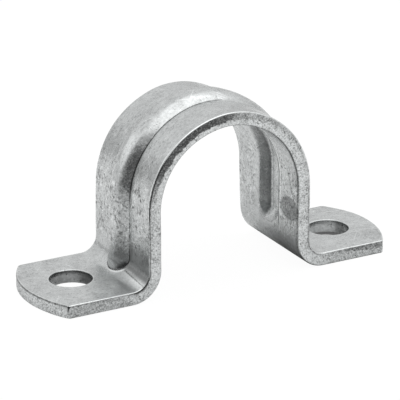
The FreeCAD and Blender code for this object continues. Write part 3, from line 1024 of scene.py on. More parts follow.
@dataclass(frozen=True)
class FoldTree:
    """The node tree that beads and folds the blank."""

    sizes: StrapSizes
    marks: PressMarks
    crease_blend: float = 0.08
    groove_floor_blend: float = 0.15
    least_lean: float = 0.05

    def inputs(self) -> dict[str, float]:
        """Lists the tree's named number inputs.

        Returns:
            The value of each by its name.
        """
        return {
            "Sheet Thickness": self.sizes.thickness,
            "Saddle Radius": self.sizes.saddle_radius,
            "Saddle Height": self.sizes.saddle_height,
            "Foot Bend Radius": self.sizes.bend_radius,
            "Bead Crown Radius": self.sizes.crown_radius,
            "Bead Slope": self.sizes.bead_slope,
            "Bead Flank": self.sizes.bead_flank,
            "Groove Lip Radius": self.sizes.groove_lip_radius,
            "Unevenness": self.marks.unevenness,
            "Seed": self.marks.seed,
        }

    def build(self, materials: dict[str, bpy.types.Material]) -> bpy.types.NodeTree:
        """Builds the tree.

        Args:
            materials: The finishes by the name of their input, in the order of the face kinds.

        Returns:
            The tree, with a geometry in and a geometry out.
        """
        tree = bpy.data.node_groups.new("bead_and_fold_the_blank", "GeometryNodeTree")
        tree.interface.new_socket("Blank", in_out="INPUT", socket_type="NodeSocketGeometry")
        tree.interface.new_socket("Strap", in_out="OUTPUT", socket_type="NodeSocketGeometry")
        for name in self.inputs():
            tree.interface.new_socket(name, in_out="INPUT", socket_type="NodeSocketFloat")
        for name in materials:
            tree.interface.new_socket(name, in_out="INPUT", socket_type="NodeSocketMaterial")
        entry = tree.nodes.new("NodeGroupInput")
        given = {name: Quantity(tree, entry.outputs[name]) for name in self.inputs()}

        position = tree.nodes.new("GeometryNodeInputPosition")
        place = tree.nodes.new("ShaderNodeSeparateXYZ")
        tree.links.new(position.outputs[0], place.inputs[0])
        along, across, level = (Quantity(tree, out) / MM for out in place.outputs)
        folded, wear = self.fold(tree, given, along, across, level)
        marked = self.store(tree, entry.outputs["Blank"], Layer.BLANK, "FLOAT_VECTOR", position.outputs[0])
        # Each amount is kept as an attribute: the wear, and the painted shade and highlights.
        for layer, amount in wear.items():
            marked = self.store(tree, marked, layer, "FLOAT", amount.socket)

        move = tree.nodes.new("GeometryNodeSetPosition")
        tree.links.new(marked, move.inputs["Geometry"])
        tree.links.new(folded, move.inputs["Position"])
        smooth = tree.nodes.new("GeometryNodeSetShadeSmooth")
        tree.links.new(move.outputs["Geometry"], smooth.inputs["Geometry"])
        realize = tree.nodes.new("GeometryNodeRealizeInstances")
        tree.links.new(smooth.outputs["Geometry"], realize.inputs["Geometry"])
        dressed = self.dress(tree, realize.outputs["Geometry"], [entry.outputs[name] for name in materials])
        leave = tree.nodes.new("NodeGroupOutput")
        tree.links.new(dressed, leave.inputs["Strap"])
        return tree

    @staticmethod
    def store(
        tree: bpy.types.NodeTree,
        geometry: bpy.types.NodeSocket,
        layer: Layer,
        kind: str,
        value: bpy.types.NodeSocket,
    ) -> bpy.types.NodeSocket:
        """Keeps a value at each point of the mesh.

        Args:
            tree: The node tree.
            geometry: The mesh.
            layer: The attribute that keeps it.
            kind: The attribute's kind of data.
            value: The value.

        Returns:
            The mesh with the attribute.
        """
        keep = tree.nodes.new("GeometryNodeStoreNamedAttribute")
        keep.data_type, keep.domain = kind, "POINT"
        keep.inputs["Name"].default_value = layer.value
        tree.links.new(geometry, keep.inputs["Geometry"])
        tree.links.new(value, keep.inputs["Value"])
        return keep.outputs["Geometry"]

    @staticmethod
    def dress(
        tree: bpy.types.NodeTree, geometry: bpy.types.NodeSocket, materials: list[bpy.types.NodeSocket],
    ) -> bpy.types.NodeSocket:
        """Gives each kind of face its finish.

        Args:
            tree: The node tree.
            geometry: The mesh.
            materials: The finishes, in the order of the face kinds.

        Returns:
            The mesh with its finishes.
        """
        kind = tree.nodes.new("GeometryNodeInputNamedAttribute")
        kind.data_type = "INT"
        kind.inputs["Name"].default_value = Layer.FACE.value
        for face, material in zip(Face, materials):
            finish = tree.nodes.new("GeometryNodeSetMaterial")
            tree.links.new(geometry, finish.inputs["Geometry"])
            tree.links.new(material, finish.inputs["Material"])
            if face is not Face.SHEET:
                chosen = tree.nodes.new("FunctionNodeCompare")
                chosen.data_type, chosen.operation = "INT", "EQUAL"
                tree.links.new(kind.outputs["Attribute"], chosen.inputs[2])
                chosen.inputs[3].default_value = int(face)
                tree.links.new(chosen.outputs[0], finish.inputs["Selection"])
            geometry = finish.outputs["Geometry"]
        return geometry

    @staticmethod
    def noise(
        tree: bpy.types.NodeTree, along: Quantity, across: Quantity, seed: Quantity, size: float,
    ) -> Quantity:
        """Smooth noise over the sheet, the same on both of its faces.

        Args:
            tree: The node tree.
            along: Place along the strip.
            across: Place across it.
            seed: The noise's seed.
            size: Rough size of its lumps in millimetres.

        Returns:
            A number between -1 and 1, mostly near 0.
        """
        place = tree.nodes.new("ShaderNodeCombineXYZ")
        tree.links.new(along.socket, place.inputs[0])
        tree.links.new(across.socket, place.inputs[1])
        node = tree.nodes.new("ShaderNodeTexNoise")
        node.noise_dimensions = "4D"
        node.inputs["Scale"].default_value = 1 / size
        node.inputs["Detail"].default_value = 1.0
        tree.links.new(place.outputs[0], node.inputs["Vector"])
        tree.links.new(seed.socket, node.inputs["W"])
        return (Quantity(tree, node.outputs[0]) - 0.5) * 2.0

    def bead(
        self,
        given: dict[str, Quantity],
        across: Quantity,
        run: Quantity,
        bend: Quantity,
        swell: Quantity,
        softness: Quantity,
    ) -> tuple[Quantity, Quantity, Quantity]:
        """How far the bead lifts the two faces of the sheet.

        Args:
            given: The tree's inputs by name.
            across: Place across the strip from the bead's middle.
            run: Distance along the strip from the top of the arch.
            bend: Angle round the foot bend.
            swell: The bead's height as a share of the drawn one.
            softness: How far the creases are rounded out.

        Returns:
            The lift of the outer face and of the inner face, and how far the bead stands above the sheet,
            which is less than 0 past its creases.
        """
        slope, flank, crown = given["Bead Slope"], given["Bead Flank"], given["Bead Crown Radius"]
        bend_radius = given["Foot Bend Radius"]
        sine, cosine, tangent = slope.math("SINE"), slope.math("COSINE"), slope.math("TANGENT")
        height = crown * (1.0 - cosine) + flank * sine
        half = crown * sine + flank * cosine

        def swelled(drawn: Quantity) -> Quantity:
            """The drawn height with its swell, which leaves what is below the sheet alone."""
            return drawn * drawn.below(0.0).blend(swell, 1.0)

        away = abs(across)
        arc = height - crown + (crown * crown - away * away).most(0.0).math("SQRT")
        ridge = swelled(away.below(crown * sine).blend((half - away) * tangent, arc))
        lean = bend.math("COSINE").most(self.least_lean)
        stand = bend_radius - (bend_radius - ridge) / lean
        outer = stand.math("SMOOTH_MAX", 0.0, softness)

        tip = (run - self.sizes.groove_tip).most(0.0)
        away = (across * across + tip * tip).math("SQRT")
        floor = height - self.marks.groove_floor_rise
        wall = swelled((half - away) * (floor / (half - self.marks.groove_floor_half_width)))
        groove = wall.math("SMOOTH_MIN", floor, self.groove_floor_blend)
        return outer, groove.math("SMOOTH_MAX", 0.0, given["Groove Lip Radius"]), stand

    def fold(
        self,
        tree: bpy.types.NodeTree,
        given: dict[str, Quantity],
        along: Quantity,
        across: Quantity,
        level: Quantity,
    ) -> tuple[bpy.types.NodeSocket, dict[Layer, Quantity]]:
        """Beads and folds the sheet.

        Args:
            tree: The node tree.
            given: The tree's inputs by name.
            along: Place along the strip.
            across: Place across it.
            level: Height above the sheet's under face.

        Returns:
            The folded position in metres, and the amounts of wear and of painted shade and highlights there.
        """
        thick, saddle, height = given["Sheet Thickness"], given["Saddle Radius"], given["Saddle Height"]
        bend_outer = given["Foot Bend Radius"] + thick
        middle = saddle + thick * 0.5
        arch_end = middle * (math.pi / 2)
        leg = height - bend_outer
        bend_middle = bend_outer - thick * 0.5
        run = abs(along)
        sign = along.math("SIGN")
        angle = run.math("MINIMUM", arch_end) / middle
        down = (run - arch_end).clamp(0.0, leg)
        bend = ((run - arch_end - leg) / bend_middle).clamp(0.0, math.pi / 2)
        flat = (run - arch_end - leg - bend_middle * (math.pi / 2)).most(0.0)

        marks = self.marks
        degrees = along / middle * math.degrees(1.0)
        swell = 1.0 + degrees.graph(marks.bead_height)
        drift = degrees.graph(marks.bead_drift) * abs(across).ease(*marks.drift_fade)
        blurred = degrees.ease(marks.crisp_until - 1.5, marks.crisp_until + 4.0) * across.below(0.0)
        softness = self.crease_blend + blurred
        outer_lift, inner_lift, stand = self.bead(given, across, run, bend, swell, softness)
        share = (level / thick).clamp(0.0, 1.0)
        place = SheetPlace(degrees, across, share, bend, stand)

        droop = degrees.graph(marks.far_edge_droop) * across.ease(*marks.droop_fade)
        uneven = self.noise(tree, along, across, given["Seed"], marks.lump_size)
        ripple = self.noise(tree, along, across, given["Seed"] + 3.0, marks.ripple_size) * marks.ripple_share
        press = (uneven + ripple) * given["Unevenness"] * (1.0 - bend.ease(0.6, 1.5)) - droop
        rolled = marks.rolled_lip.amount(place) * share
        lifted = level + share.blend(inner_lift, outer_lift) + press + rolled

        radius = saddle + lifted
        inward = bend_outer - lifted
        right_foot = (flat * 0.2).clamp(0.0, 1.0) * sign.clamp(0.0, 1.0)
        skew = (across * marks.foot_skew + marks.foot_growth) * right_foot
        reach = angle.math("SINE") * radius + inward * (1.0 - bend.math("COSINE")) + flat + skew
        dip = across.ease(*marks.dip_fade) * right_foot * share * marks.far_foot_dip
        raised = height + angle.math("COSINE") * radius - down - inward * bend.math("SINE") - dip
        joined = tree.nodes.new("ShaderNodeCombineXYZ")
        for slot, value in zip(joined.inputs, (sign * reach, across + drift, raised)):
            tree.links.new((value * MM).socket, slot)
        return joined.outputs[0], WearAndPaintedLight(marks, place, 1.0 - blurred * 0.9).layers()


class ShaderTree:
    """A material's or a group's nodes, joined by name."""

    def __init__(self, tree: bpy.types.NodeTree) -> None:
        """Takes over a tree."""
        self.tree = tree

    @classmethod
    def emptied(cls, owner: bpy.types.Material | bpy.types.World) -> "ShaderTree":
        """The tree of a material or a world, with nothing in it."""
        owner.use_nodes = True
        owner.node_tree.nodes.clear()
        return cls(owner.node_tree)

    def node(self, kind: str, settings: dict[str, object] | None = None, **inputs: object) -> bpy.types.Node:
        """Adds a node.

        Args:
            kind: The node's type.
            settings: Properties of the node itself.
            inputs: A value or an output socket for each input, by name with spaces as underscores.

        Returns:
            The node.
        """
        made = self.tree.nodes.new(kind)
        for name, value in (settings or {}).items():
            setattr(made, name, value)
        for name, value in inputs.items():
            self.feed(made.inputs[name.replace("_", " ")], value)
        return made

    def group(self, shared: bpy.types.NodeTree, **inputs: object) -> bpy.types.Node:
        """Adds a shared group."""
        return self.node("ShaderNodeGroup", {"node_tree": shared}, **inputs)

    def attribute(self, layer: Layer) -> bpy.types.Node:
        """Reads a mesh attribute."""
        return self.node("ShaderNodeAttribute", {"attribute_name": layer.value})

    def feed(self, slot: bpy.types.NodeSocket, value: object) -> None:
        """Links an output socket to an input, or sets the input to a value.

        Args:
            slot: The input.
            value: The socket, number or value.
        """
        if isinstance(value, bpy.types.NodeSocket):
            self.tree.links.new(value, slot)
        elif isinstance(value, Quantity):
            self.tree.links.new(value.socket, slot)
        else:
            slot.default_value = value

    def number(self, socket: bpy.types.NodeSocket) -> Quantity:
        """A socket as a number for arithmetic."""
        return Quantity(self.tree, socket)

    def numbers(self, node: bpy.types.Node, *names: str) -> list[Quantity]:
        """A node's outputs of those names, as numbers."""
        return [self.number(node.outputs[name]) for name in names]

    def millimetres(self, vector: bpy.types.NodeSocket) -> list[Quantity]:
        """The three parts in millimetres of a vector in metres."""
        parts = self.node("ShaderNodeSeparateXYZ", Vector=vector)
        return [self.number(part) / MM for part in parts.outputs]

    def join(self, x: Quantity, y: Quantity, z: Quantity) -> bpy.types.NodeSocket:
        """A vector from its three parts."""
        return self.node("ShaderNodeCombineXYZ", X=x, Y=y, Z=z).outputs[0]

    def distance(self, vector: bpy.types.NodeSocket, spot: tuple[float, float]) -> Quantity:
        """Measures how far a vector is from a spot on the ground.

        Args:
            vector: The vector.
            spot: The spot's place along X and Y.

        Returns:
            The distance, in the vector's unit.
        """
        apart = self.node("ShaderNodeVectorMath", {"operation": "DISTANCE"})
        self.feed(apart.inputs[0], vector)
        apart.inputs[1].default_value = (*spot, 0.0)
        return self.number(apart.outputs["Value"])

    def noise(
        self,
        vector: bpy.types.NodeSocket,
        detail: float,
        seed: float,
        size: float = 1.0,
        scale: bpy.types.NodeSocket | None = None,
    ) -> Quantity:
        """Noise over a vector.

        Args:
            vector: The coordinates.
            detail: How many finer sizes of lump are mixed in.
            seed: Its seed.
            size: Rough size of its lumps, in the unit of the coordinates.
            scale: Lumps to the unit, in place of the size.

        Returns:
            A number about 0.5.
        """
        made = self.node(
            "ShaderNodeTexNoise", {"noise_dimensions": "4D"},
            Vector=vector, Scale=1 / size if scale is None else scale, Detail=detail, W=seed)
        return self.number(made.outputs[0])

    def ramp(
        self, value: Quantity, stops: list[tuple[float, tuple[float, float, float]]],
    ) -> bpy.types.NodeSocket:
        """Turns a number into a colour.

        Args:
            value: The number, from 0 to 1.
            stops: A place and its colour, by rising place.

        Returns:
            The colour.
        """
        made = self.tree.nodes.new("ShaderNodeValToRGB")
        band = made.color_ramp
        while len(band.elements) < len(stops):
            band.elements.new(0.5)
        for element, (place, colour) in zip(band.elements, stops):
            element.position = place
            element.color = (*colour, 1.0)
        self.tree.links.new(value.socket, made.inputs[0])
        return made.outputs[0]


class ZincGroups:
    """The shader node groups that the finishes share, each built once."""

    def __init__(self) -> None:
        """Builds the groups."""
        self.mottle = self.build_mottle()
        self.pits = self.build_pits()
        self.streaks = self.build_streaks()
        self.scratches = self.build_scratches()
        self.worms = self.build_worms()
        self.torn = self.build_torn()

    @staticmethod
    def start(
        name: str, inputs: dict[str, float | None], outputs: tuple[str, ...] = ("Mask",),
    ) -> tuple[ShaderTree, bpy.types.Node, bpy.types.Node]:
        """Starts a group.

        Args:
            name: The group's name.
            inputs: The default of each number input by name, and None for a vector.
            outputs: The names of its outputs, which are numbers.

        Returns:
            The group's tree, its entry node and its exit node.
        """
        tree = bpy.data.node_groups.new(name, "ShaderNodeTree")
        for label, value in inputs.items():
            kind = "NodeSocketVector" if value is None else "NodeSocketFloat"
            socket = tree.interface.new_socket(label, in_out="INPUT", socket_type=kind)
            if value is not None:
                socket.default_value = value
        for label in outputs:
            tree.interface.new_socket(label, in_out="OUTPUT", socket_type="NodeSocketFloat")
        return ShaderTree(tree), tree.nodes.new("NodeGroupInput"), tree.nodes.new("NodeGroupOutput")

    def build_mottle(self) -> bpy.types.NodeTree:
        """Builds cloudy blotches with a finer grain in them.

        Returns:
            The group, which gives a tone about 0.5.
        """
        shader, entry, leave = self.start(
            "zinc_mottle",
            {"Vector": None, "Blotches": 0.5, "Grain": 0.5, "Grains Per Millimetre": 2.0},
            ("Tone", "Cloud"),
        )
        place = entry.outputs["Vector"]
        fineness = entry.outputs["Grains Per Millimetre"]
        cloud = shader.noise(place, size=4.5, detail=3.0, seed=1.0)
        blotch = shader.noise(place, size=1.5, detail=3.0, seed=2.0)
        grain = shader.noise(place, detail=2.0, seed=3.0, scale=fineness)
        blotches, grains = shader.numbers(entry, "Blotches", "Grain")
        tone = 0.5 + ((cloud - 0.5) + (blotch - 0.5)) * blotches + (grain - 0.5) * grains
        shader.feed(leave.inputs["Tone"], tone.clamp(0.0, 1.0))
        shader.feed(leave.inputs["Cloud"], cloud)
        return shader.tree

    def build_pits(self) -> bpy.types.NodeTree:
        """Builds small dark pits and specks, some larger than others, scattered in patches.

        Returns:
            The group.
        """
        shader, entry, leave = self.start("press_pits", {"Vector": None, "Amount": 0.5})
        place = entry.outputs["Vector"]
        patch = shader.noise(place, size=3.6, detail=2.0, seed=11.0).ease(0.36, 0.66)
        fine = shader.noise(place, size=0.42, detail=1.0, seed=12.0)
        coarse = shader.noise(place, size=0.95, detail=2.0, seed=13.0)
        reach = shader.number(entry.outputs["Amount"]) * 0.07 + patch * 0.06
        small = ((fine - 0.70 + reach) * 12.0).clamp(0.0, 1.0)
        large = ((coarse - 0.72 + reach * 0.9) * 11.0).clamp(0.0, 1.0)
        shader.feed(leave.inputs["Mask"], small.most(large))
        return shader.tree

    def build_worms(self) -> bpy.types.NodeTree:
        """Builds short wandering marks, a little longer along the strip than across it.

        Returns:
            The group, which gives dark ones and light ones.
        """
        shader, entry, leave = self.start("scuff_marks", {"Blank Place": None}, ("Dark", "Light"))
        flat = entry.outputs["Blank Place"]
        along, across, level = shader.millimetres(flat)
        wander = shader.noise(flat, size=1.1 * MM, detail=1.0, seed=41.0) * 1.6
        place = shader.join(along / 1.7, across + wander, level)
        dark = shader.noise(place, size=0.48, detail=1.5, seed=42.0)
        light = shader.noise(place, size=0.60, detail=1.5, seed=43.0)
        shader.feed(leave.inputs["Dark"], dark.ease(0.53, 0.68))
        shader.feed(leave.inputs["Light"], light.ease(0.53, 0.70))
        return shader.tree

    def build_torn(self) -> bpy.types.NodeTree:
        """Builds the torn zone of the sheared edge, from the outer face down to a ragged line.

        Returns:
            The group.
        """
        shader, entry, leave = self.start(
            "torn_zone", {"Blank Place": None, "Thickness": 3.0, "Depth": 1.0, "Shade": 1.0})
        flat = entry.outputs["Blank Place"]
        thickness, depth, shade = shader.numbers(entry, "Thickness", "Depth", "Shade")
        below = thickness - shader.millimetres(flat)[2]
        ragged = (shader.noise(flat, size=0.9 * MM, detail=3.0, seed=51.0) - 0.5) * 1.8
        lower = 1.0 - (below + ragged * depth.clamp(0.2, 0.8) - depth).ease(-0.12, 0.12)
        upper = below.ease(0.12, 0.24)
        even = shade.ease(0.75, 0.95) * 0.35
        grit = shader.noise(flat, size=0.28 * MM, detail=2.0, seed=52.0).ease(0.34, 0.60)
        grit = grit * (0.6 - even) + 0.4 + even
        patchy = shader.noise(flat, size=1.6 * MM, detail=2.0, seed=53.0).ease(0.30, 0.55)
        whole = shade.ease(0.4, 0.9)
        mask = lower * upper * grit * whole.blend(patchy, whole)
        shader.feed(leave.inputs["Mask"], (mask * shade).clamp(0.0, 1.0))
        return shader.tree

    def build_streaks(self) -> bpy.types.NodeTree:
        """Builds streaks along the strip, where the sheet has slid through the tool.

        Returns:
            The group.
        """
        shader, entry, leave = self.start("drawn_streaks", {"Blank Place": None, "Length": 5.0, "Width": 0.6})
        flat = entry.outputs["Blank Place"]
        along, across, level = shader.millimetres(flat)
        length, width = shader.numbers(entry, "Length", "Width")
        wander = shader.noise(flat, size=4.0 * MM, detail=1.0, seed=21.0) * 1.2
        place = shader.join(along / length, (across + wander) / width, level)
        fine = shader.noise(place, detail=2.0, seed=22.0)
        shader.feed(leave.inputs["Mask"], fine.ease(0.28, 0.72))
        return shader.tree

    def build_scratches(self) -> bpy.types.NodeTree:
        """Builds a few thin bright scratches, slanting over the sheet.

        Returns:
            The group.
        """
        shader, entry, leave = self.start("handling_scratches", {"Blank Place": None, "Amount": 0.5})
        threshold = 0.745 - shader.number(entry.outputs["Amount"]) * 0.05
        marks = []
        for turn, seed in ((0.5, 31.0), (-0.9, 32.0), (1.35, 33.0)):
            laid = shader.node(
                "ShaderNodeMapping", Vector=entry.outputs["Blank Place"], Rotation=(0.0, 0.0, turn))
            along, across, level = shader.millimetres(laid.outputs[0])
            place = shader.join(along / 7.0, across / 0.32, level)
            lines = shader.noise(place, detail=0.0, seed=seed) - threshold
            marks.append((lines * 16.0).clamp(0.0, 1.0))
        shader.feed(leave.inputs["Mask"], marks[0].most(*marks[1:]))
        return shader.tree


@dataclass(frozen=True)
class ZincFinish:
    """A finish of zinc-coated steel: its tones from dark to light, its gloss and how broken up it is."""

    name: str
    dark: tuple[float, float, float]
    middle: tuple[float, float, float]
    light: tuple[float, float, float]
    roughness: float
    blotches: float
    grain: float
    pits: float
    streaks: float
    relief: float
    fineness: float = 2.0
    scratches: float = 0.0
    scuffs: float = 0.0
    torn: float = 0.0
    relief_depth: float = 0.05 * MM

    def build(self, groups: ZincGroups) -> bpy.types.Material:
        """Builds the material.

        Args:
            groups: The shared node groups.

        Returns:
            The material.
        """
        material = bpy.data.materials.new(self.name)
        shader = ShaderTree.emptied(material)
        metres = shader.node("ShaderNodeTexCoord").outputs["Object"]
        place = shader.node("ShaderNodeMapping", Vector=metres, Scale=(1 / MM, 1 / MM, 1 / MM)).outputs[0]
        flat = shader.attribute(Layer.BLANK).outputs["Vector"]
        # These layers hold painted sheen, painted shade and painted highlights, as well as the wear.
        wear_and_light = {
            layer: shader.number(shader.attribute(layer).outputs["Fac"])
            for layer in Layer
            if layer not in (Layer.BLANK, Layer.FACE)
        }
        painted_sheen, shade_and_grime, painted_shade, scuff = (wear_and_light[layer] for layer in (Layer.PAINTED_SHEEN, Layer.SHADE_AND_GRIME, Layer.SHADE_AND_STAIN, Layer.SCUFF))
        painted_highlight, matt = wear_and_light[Layer.PAINTED_HIGHLIGHT], wear_and_light[Layer.MATT]

        mottle = shader.group(
            groups.mottle, Vector=place, Blotches=self.blotches, Grain=self.grain,
            Grains_Per_Millimetre=self.fineness)
        pits = shader.group(groups.pits, Vector=place, Amount=self.pits)
        streaks = shader.group(groups.streaks, Blank_Place=flat)
        scratches = shader.group(groups.scratches, Blank_Place=flat, Amount=self.scratches)
        worms = shader.group(groups.worms, Blank_Place=flat)
        torn = shader.group(
            groups.torn, Blank_Place=flat, Depth=wear_and_light[Layer.TORN_DEPTH], Shade=wear_and_light[Layer.TORN_SHADE])

        mottled, cloud = shader.numbers(mottle, "Tone", "Cloud")
        dark_worm, light_worm = shader.numbers(worms, "Dark", "Light")
        pit, streak, scratch, tear = (
            shader.number(group.outputs["Mask"]) for group in (pits, streaks, scratches, torn))
        tone = 0.5 + (mottled - 0.5) * (0.4 + scuff * 0.6)
        broken = 0.3 + scuff * 0.7
        pit = pit * broken
        streak = (streak - 0.5) * broken * self.streaks
        scratch = scratch * self.scratches
        dark_mark = dark_worm * scuff * self.scuffs
        light_mark = light_worm * scuff * self.scuffs
        tear = tear * self.torn
        grit = shader.noise(place, size=0.30, detail=2.0, seed=4.0).ease(0.34, 0.60)
        wavy = shade_and_grime.ease(0.6, 0.95).blend(grit * 0.75 + 0.25, 1.0)
        # Painted sheen and painted highlights lighten the tone here; on the next line the painted shade
        # layers, which also hold the stain and the feet's grit, darken it.
        shade = tone + streak + scratch * 0.3 + painted_sheen * 0.3 + painted_highlight * 0.4 + (light_mark - dark_mark) * 0.30
        shade = shade * (1.0 - pit * 0.6) * (1.0 - shade_and_grime * wavy * 0.97) * (1.0 - painted_shade) * (1.0 - tear * 0.9)
        tones = [(0.0, grey(0.03)), (0.25, self.dark), (0.5, self.middle), (0.85, self.light)]
        colour = shader.ramp(shade.clamp(0.0, 1.0), tones)
        rough = self.roughness + (cloud - 0.5) * 0.10 + (0.5 - tone) * 0.14 + dark_mark * 0.10
        rough = rough + pit * 0.25 - painted_sheen * 0.08 - painted_highlight * 0.06 + matt * 0.16
        rough = rough + shade_and_grime * 0.2 + painted_shade * 0.05 + tear * 0.25
        height = tone * 0.6 - pit * 0.6 + streak * 0.6 - scratch * 0.3 + (light_mark - dark_mark) * 0.5
        bump = shader.node("ShaderNodeBump", Strength=self.relief, Distance=self.relief_depth, Height=height)
        surface = shader.node(
            "ShaderNodeBsdfPrincipled", Base_Color=colour, Metallic=1.0,
            Roughness=rough.clamp(0.15, 0.9), Normal=bump.outputs[0])
        shader.node("ShaderNodeOutputMaterial", Surface=surface.outputs[0])
        return material


def grey(value: float) -> tuple[float, float, float]:
    """The grey of zinc at that brightness, a little cool."""
    return (value * 0.975, value, value)


SHEET_FINISH = ZincFinish(
    "zinc_coated_sheet", grey(0.36), grey(0.65), grey(0.95),
    roughness=0.26, blotches=0.45, grain=0.7, pits=0.7, streaks=0.12, relief=0.9, scratches=0.6, scuffs=1.0)
CUT_FINISH = ZincFinish(
    "sheared_edge", grey(0.34), grey(0.66), grey(0.95),
    roughness=0.32, blotches=0.28, grain=1.7, pits=0.5, streaks=0.0, relief=1.0, fineness=3.2, torn=1.0)
HOLE_FINISH = ZincFinish(
    "punched_wall", grey(0.26), grey(0.54), grey(0.82),
    roughness=0.30, blotches=0.6, grain=0.6, pits=0.5, streaks=0.0, relief=0.9)


@dataclass
class OmegaStrap:
    """The clamp's one piece."""

    sizes: StrapSizes = field(default_factory=StrapSizes)
    marks: PressMarks = field(default_factory=PressMarks)
    name: str = "omega_strap_sheet"

    def dress(self) -> dict[str, bpy.types.Material]:
        """Builds the finishes.

        Returns:
            The finishes by the name of their input, in the order of the face kinds.
        """
        groups = ZincGroups()
        return {
            "Sheet Finish": SHEET_FINISH.build(groups),
            "Cut Edge Finish": CUT_FINISH.build(groups),
            "Punched Wall Finish": HOLE_FINISH.build(groups),
        }

    def build(self) -> bpy.types.Object:
        """Builds, folds and dresses the strap, and hangs it in the frame.

        Returns:
            The finished piece.
        """
        blank = FlatBlank(self.sizes).build(self.name)
        fold = FoldTree(self.sizes, self.marks)
        materials = self.dress()
        tree = fold.build(materials)
        modifier = blank.modifiers.new("fold", "NODES")
        modifier.node_group = tree
        sockets = {item.name: item.identifier for item in tree.interface.items_tree if item.in_out == "INPUT"}
        for name, value in {**fold.inputs(), **materials}.items():
            modifier[sockets[name]] = value
        shaped = blank.evaluated_get(bpy.context.evaluated_depsgraph_get())
        folded = bpy.data.meshes.new_from_object(shaped)
        flat = blank.data
        blank.modifiers.remove(modifier)
        blank.data = folded
        bpy.data.meshes.remove(flat)
        folded.name = self.name
        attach(blank, "root")
        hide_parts(STRAP_NODE)
        finishes = [material.name for material in folded.materials]
        log.info("%s: %d faces, finishes %s", self.name, len(folded.polygons), finishes)
        return blank


def direction(azimuth: float, elevation: float) -> Vector:
    """The direction from the clamp at those degrees round from the front towards the left foot, and up.

    Args:
        azimuth: Degrees round.
        elevation: Degrees up.

    Returns:
        A vector of length 1.
    """
    turn, rise = math.radians(azimuth), math.radians(elevation)
    return Vector((-math.sin(turn) * math.cos(rise), -math.cos(turn) * math.cos(rise), math.sin(rise)))


@dataclass(frozen=True)
class Card:
    """A soft-edged card round the scene: it dims or brightens the light that comes from its direction."""

    name: str
    azimuth: float
    elevation: float
    core: float
    reach: float
    gain: float


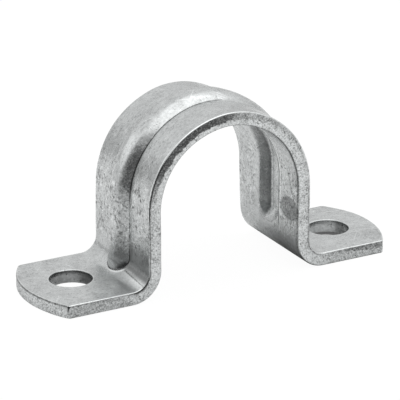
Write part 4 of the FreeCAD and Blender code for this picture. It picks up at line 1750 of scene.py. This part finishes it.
@dataclass(frozen=True)
class Studio:
    """The floor, the soft light and the camera, at the photograph's angle.

    The camera's aim and distance are in millimetres, the spots on the floor and their reach in metres, and
    each card's place and size in degrees.
    """

    azimuth: float = 28.501
    elevation: float = 20.815
    distance: float = 501.3
    aim: tuple[float, float, float] = (-0.563, 0.0, 15.344)
    focal_pixels: float = 2327.8
    picture_pixels: float = 400.0
    floor_half_side: float = 4.0
    floor_tone: float = 0.85
    shaded_colour: tuple[float, float, float, float] = (0.06, 0.06, 0.06, 1.0)
    floor_glow: float = 0.96
    # A painted shadow on the floor under the right bolt hole, and a painted shaded patch on the floor that
    # only the clamp's reflections show.
    hole_shadow_spot: tuple[float, float] = (0.0316, -0.0001)
    hole_shadow_glow: float = 0.50
    hole_shadow_depth: float = 0.42
    hole_shadow_start: float = 0.0031
    hole_shadow_reach: float = 0.0056
    painted_shade_patch: tuple[float, float] = (-0.20, -0.09)
    painted_shade_reach: float = 0.175
    painted_shade_gain: float = 0.12
    cards: tuple[Card, ...] = (
        Card("ceiling_softbox", 6.0, 79.0, 28.0, 38.0, 1.75),
        Card("front_left_flag", 60.5, 12.8, 4.0, 44.0, 0.10),
        Card("low_left_flag", 80.0, -45.0, 8.0, 40.0, 0.42),
        Card("left_strip", 91.0, 40.0, 4.0, 13.0, 1.6),
        Card("right_strip", -110.0, 55.0, 1.0, 27.0, 1.4),
        Card("back_left_gap", 147.0, 2.0, 4.0, 17.0, 0.72),
    )
    sky: Graph = (
        (-1.0, 0.35), (-0.5, 0.62), (-0.26, 0.90), (0.0, 0.52), (0.25, 0.75), (0.5, 0.80), (0.75, 0.80),
        (1.0, 0.80),
    )

    def build_camera(self) -> bpy.types.Object:
        """Sets up the camera and makes it the scene's.

        Returns:
            The camera.
        """
        data = bpy.data.cameras.new("photo_camera")
        data.sensor_width = 36.0
        data.lens = self.focal_pixels / self.picture_pixels * data.sensor_width
        data.clip_start, data.clip_end = 0.01, 20.0
        camera = bpy.data.objects.new("photo_camera", data)
        towards = direction(self.azimuth, self.elevation)
        place = (Vector(self.aim) + towards * self.distance) * MM
        camera.matrix_world = Matrix.Translation(place) @ towards.to_track_quat("Z", "Y").to_matrix().to_4x4()
        bpy.context.scene.collection.objects.link(camera)
        bpy.context.scene.camera = camera
        return camera

    def build_paper(self) -> bpy.types.Material:
        """Builds the floor's material.

        Returns:
            Paper that glows where the camera sees it, with a painted shadow under the right bolt hole, grey
            in the middle and darker at its edge. The clamp mirrors it as a pale floor with a painted shaded
            patch.
        """
        material = bpy.data.materials.new("pale_paper")
        shader = ShaderTree.emptied(material)
        ground = shader.node("ShaderNodeTexCoord").outputs["Object"]
        # A painted shaded patch on the floor, seen only in the clamp's reflections.
        off_patch = shader.distance(ground, self.painted_shade_patch)
        outside = off_patch.ease(0.3 * self.painted_shade_reach, self.painted_shade_reach)
        tone = (outside * (1.0 - self.painted_shade_gain) + self.painted_shade_gain) * self.floor_tone
        lit = shader.node("ShaderNodeBsdfDiffuse", Color=tone)
        shaded = shader.node("ShaderNodeBsdfDiffuse", Color=self.shaded_colour)
        # A painted shadow under the right bolt hole: grey in the middle, darker towards its edge.
        spread = shader.distance(ground, self.hole_shadow_spot)
        deep = spread.ease(self.hole_shadow_start, 1.12 * self.hole_shadow_start)
        under_hole = self.hole_shadow_glow - deep * self.hole_shadow_depth
        clear = spread.ease(self.hole_shadow_reach, 1.01 * self.hole_shadow_reach)
        strength = clear.blend(under_hole, self.floor_glow)
        glow = shader.node("ShaderNodeEmission", Color=(1.0, 1.0, 1.0, 1.0), Strength=strength)
        shown = shader.node("ShaderNodeAddShader")
        seen = shader.node("ShaderNodeLightPath").outputs["Is Camera Ray"]
        surface = shader.node("ShaderNodeMixShader", Fac=seen)
        for slot, source in (
            (shown.inputs[0], shaded),
            (shown.inputs[1], glow),
            (surface.inputs[1], lit),
            (surface.inputs[2], shown),
        ):
            shader.feed(slot, source.outputs[0])
        shader.node("ShaderNodeOutputMaterial", Surface=surface.outputs[0])
        return material

    def build_floor(self) -> bpy.types.Object:
        """Lays the pale floor.

        Returns:
            The floor.
        """
        side = self.floor_half_side
        data = bpy.data.meshes.new("pale_floor")
        corners = [(-side, -side, 0), (side, -side, 0), (side, side, 0), (-side, side, 0)]
        data.from_pydata(corners, [], [(0, 1, 2, 3)])
        data.materials.append(self.build_paper())
        floor = bpy.data.objects.new("pale_floor", data)
        bpy.context.scene.collection.objects.link(floor)
        return floor

    def build_world(self) -> bpy.types.World:
        """Surrounds the scene with soft light, with the cards in it.

        Returns:
            The world.
        """
        world = bpy.data.worlds.new("soft_studio")
        shader = ShaderTree.emptied(world)
        looking = shader.node("ShaderNodeTexCoord").outputs["Generated"]
        rise = shader.node("ShaderNodeSeparateXYZ", Vector=looking).outputs[2]
        rise = (shader.number(rise) + 1.0) * 0.5
        colour = shader.ramp(rise, [((level + 1.0) / 2, (value, value, value)) for level, value in self.sky])
        strength: Quantity | float = 1.0
        for card in self.cards:
            towards = shader.node("ShaderNodeVectorMath", {"operation": "DOT_PRODUCT"})
            shader.feed(towards.inputs[0], looking)
            towards.inputs[1].default_value = direction(card.azimuth, card.elevation)
            bounds = (math.cos(math.radians(part)) for part in (card.reach, card.core))
            near = shader.number(towards.outputs["Value"]).ease(*bounds)
            strength = (near * (card.gain - 1.0) + 1.0) * strength
        sky = shader.node("ShaderNodeBackground", Color=colour, Strength=strength)
        shader.node("ShaderNodeOutputWorld", Surface=sky.outputs[0])
        bpy.context.scene.world = world
        return world

    def build(self) -> None:
        """Builds everything round the clamp."""
        self.build_world()
        self.build_floor()
        self.build_camera()
        view = bpy.context.scene.view_settings
        view.view_transform = "Standard"
        view.look = "None"


def main() -> None:
    """Builds the clamp and its studio."""
    logging.basicConfig(level=logging.INFO, format="%(name)s: %(message)s")
    piece = OmegaStrap().build()
    log.info("%s stands for %s", piece.name, STRAP_NODE)
    Studio().build()


if __name__ == "__main__":
    main()
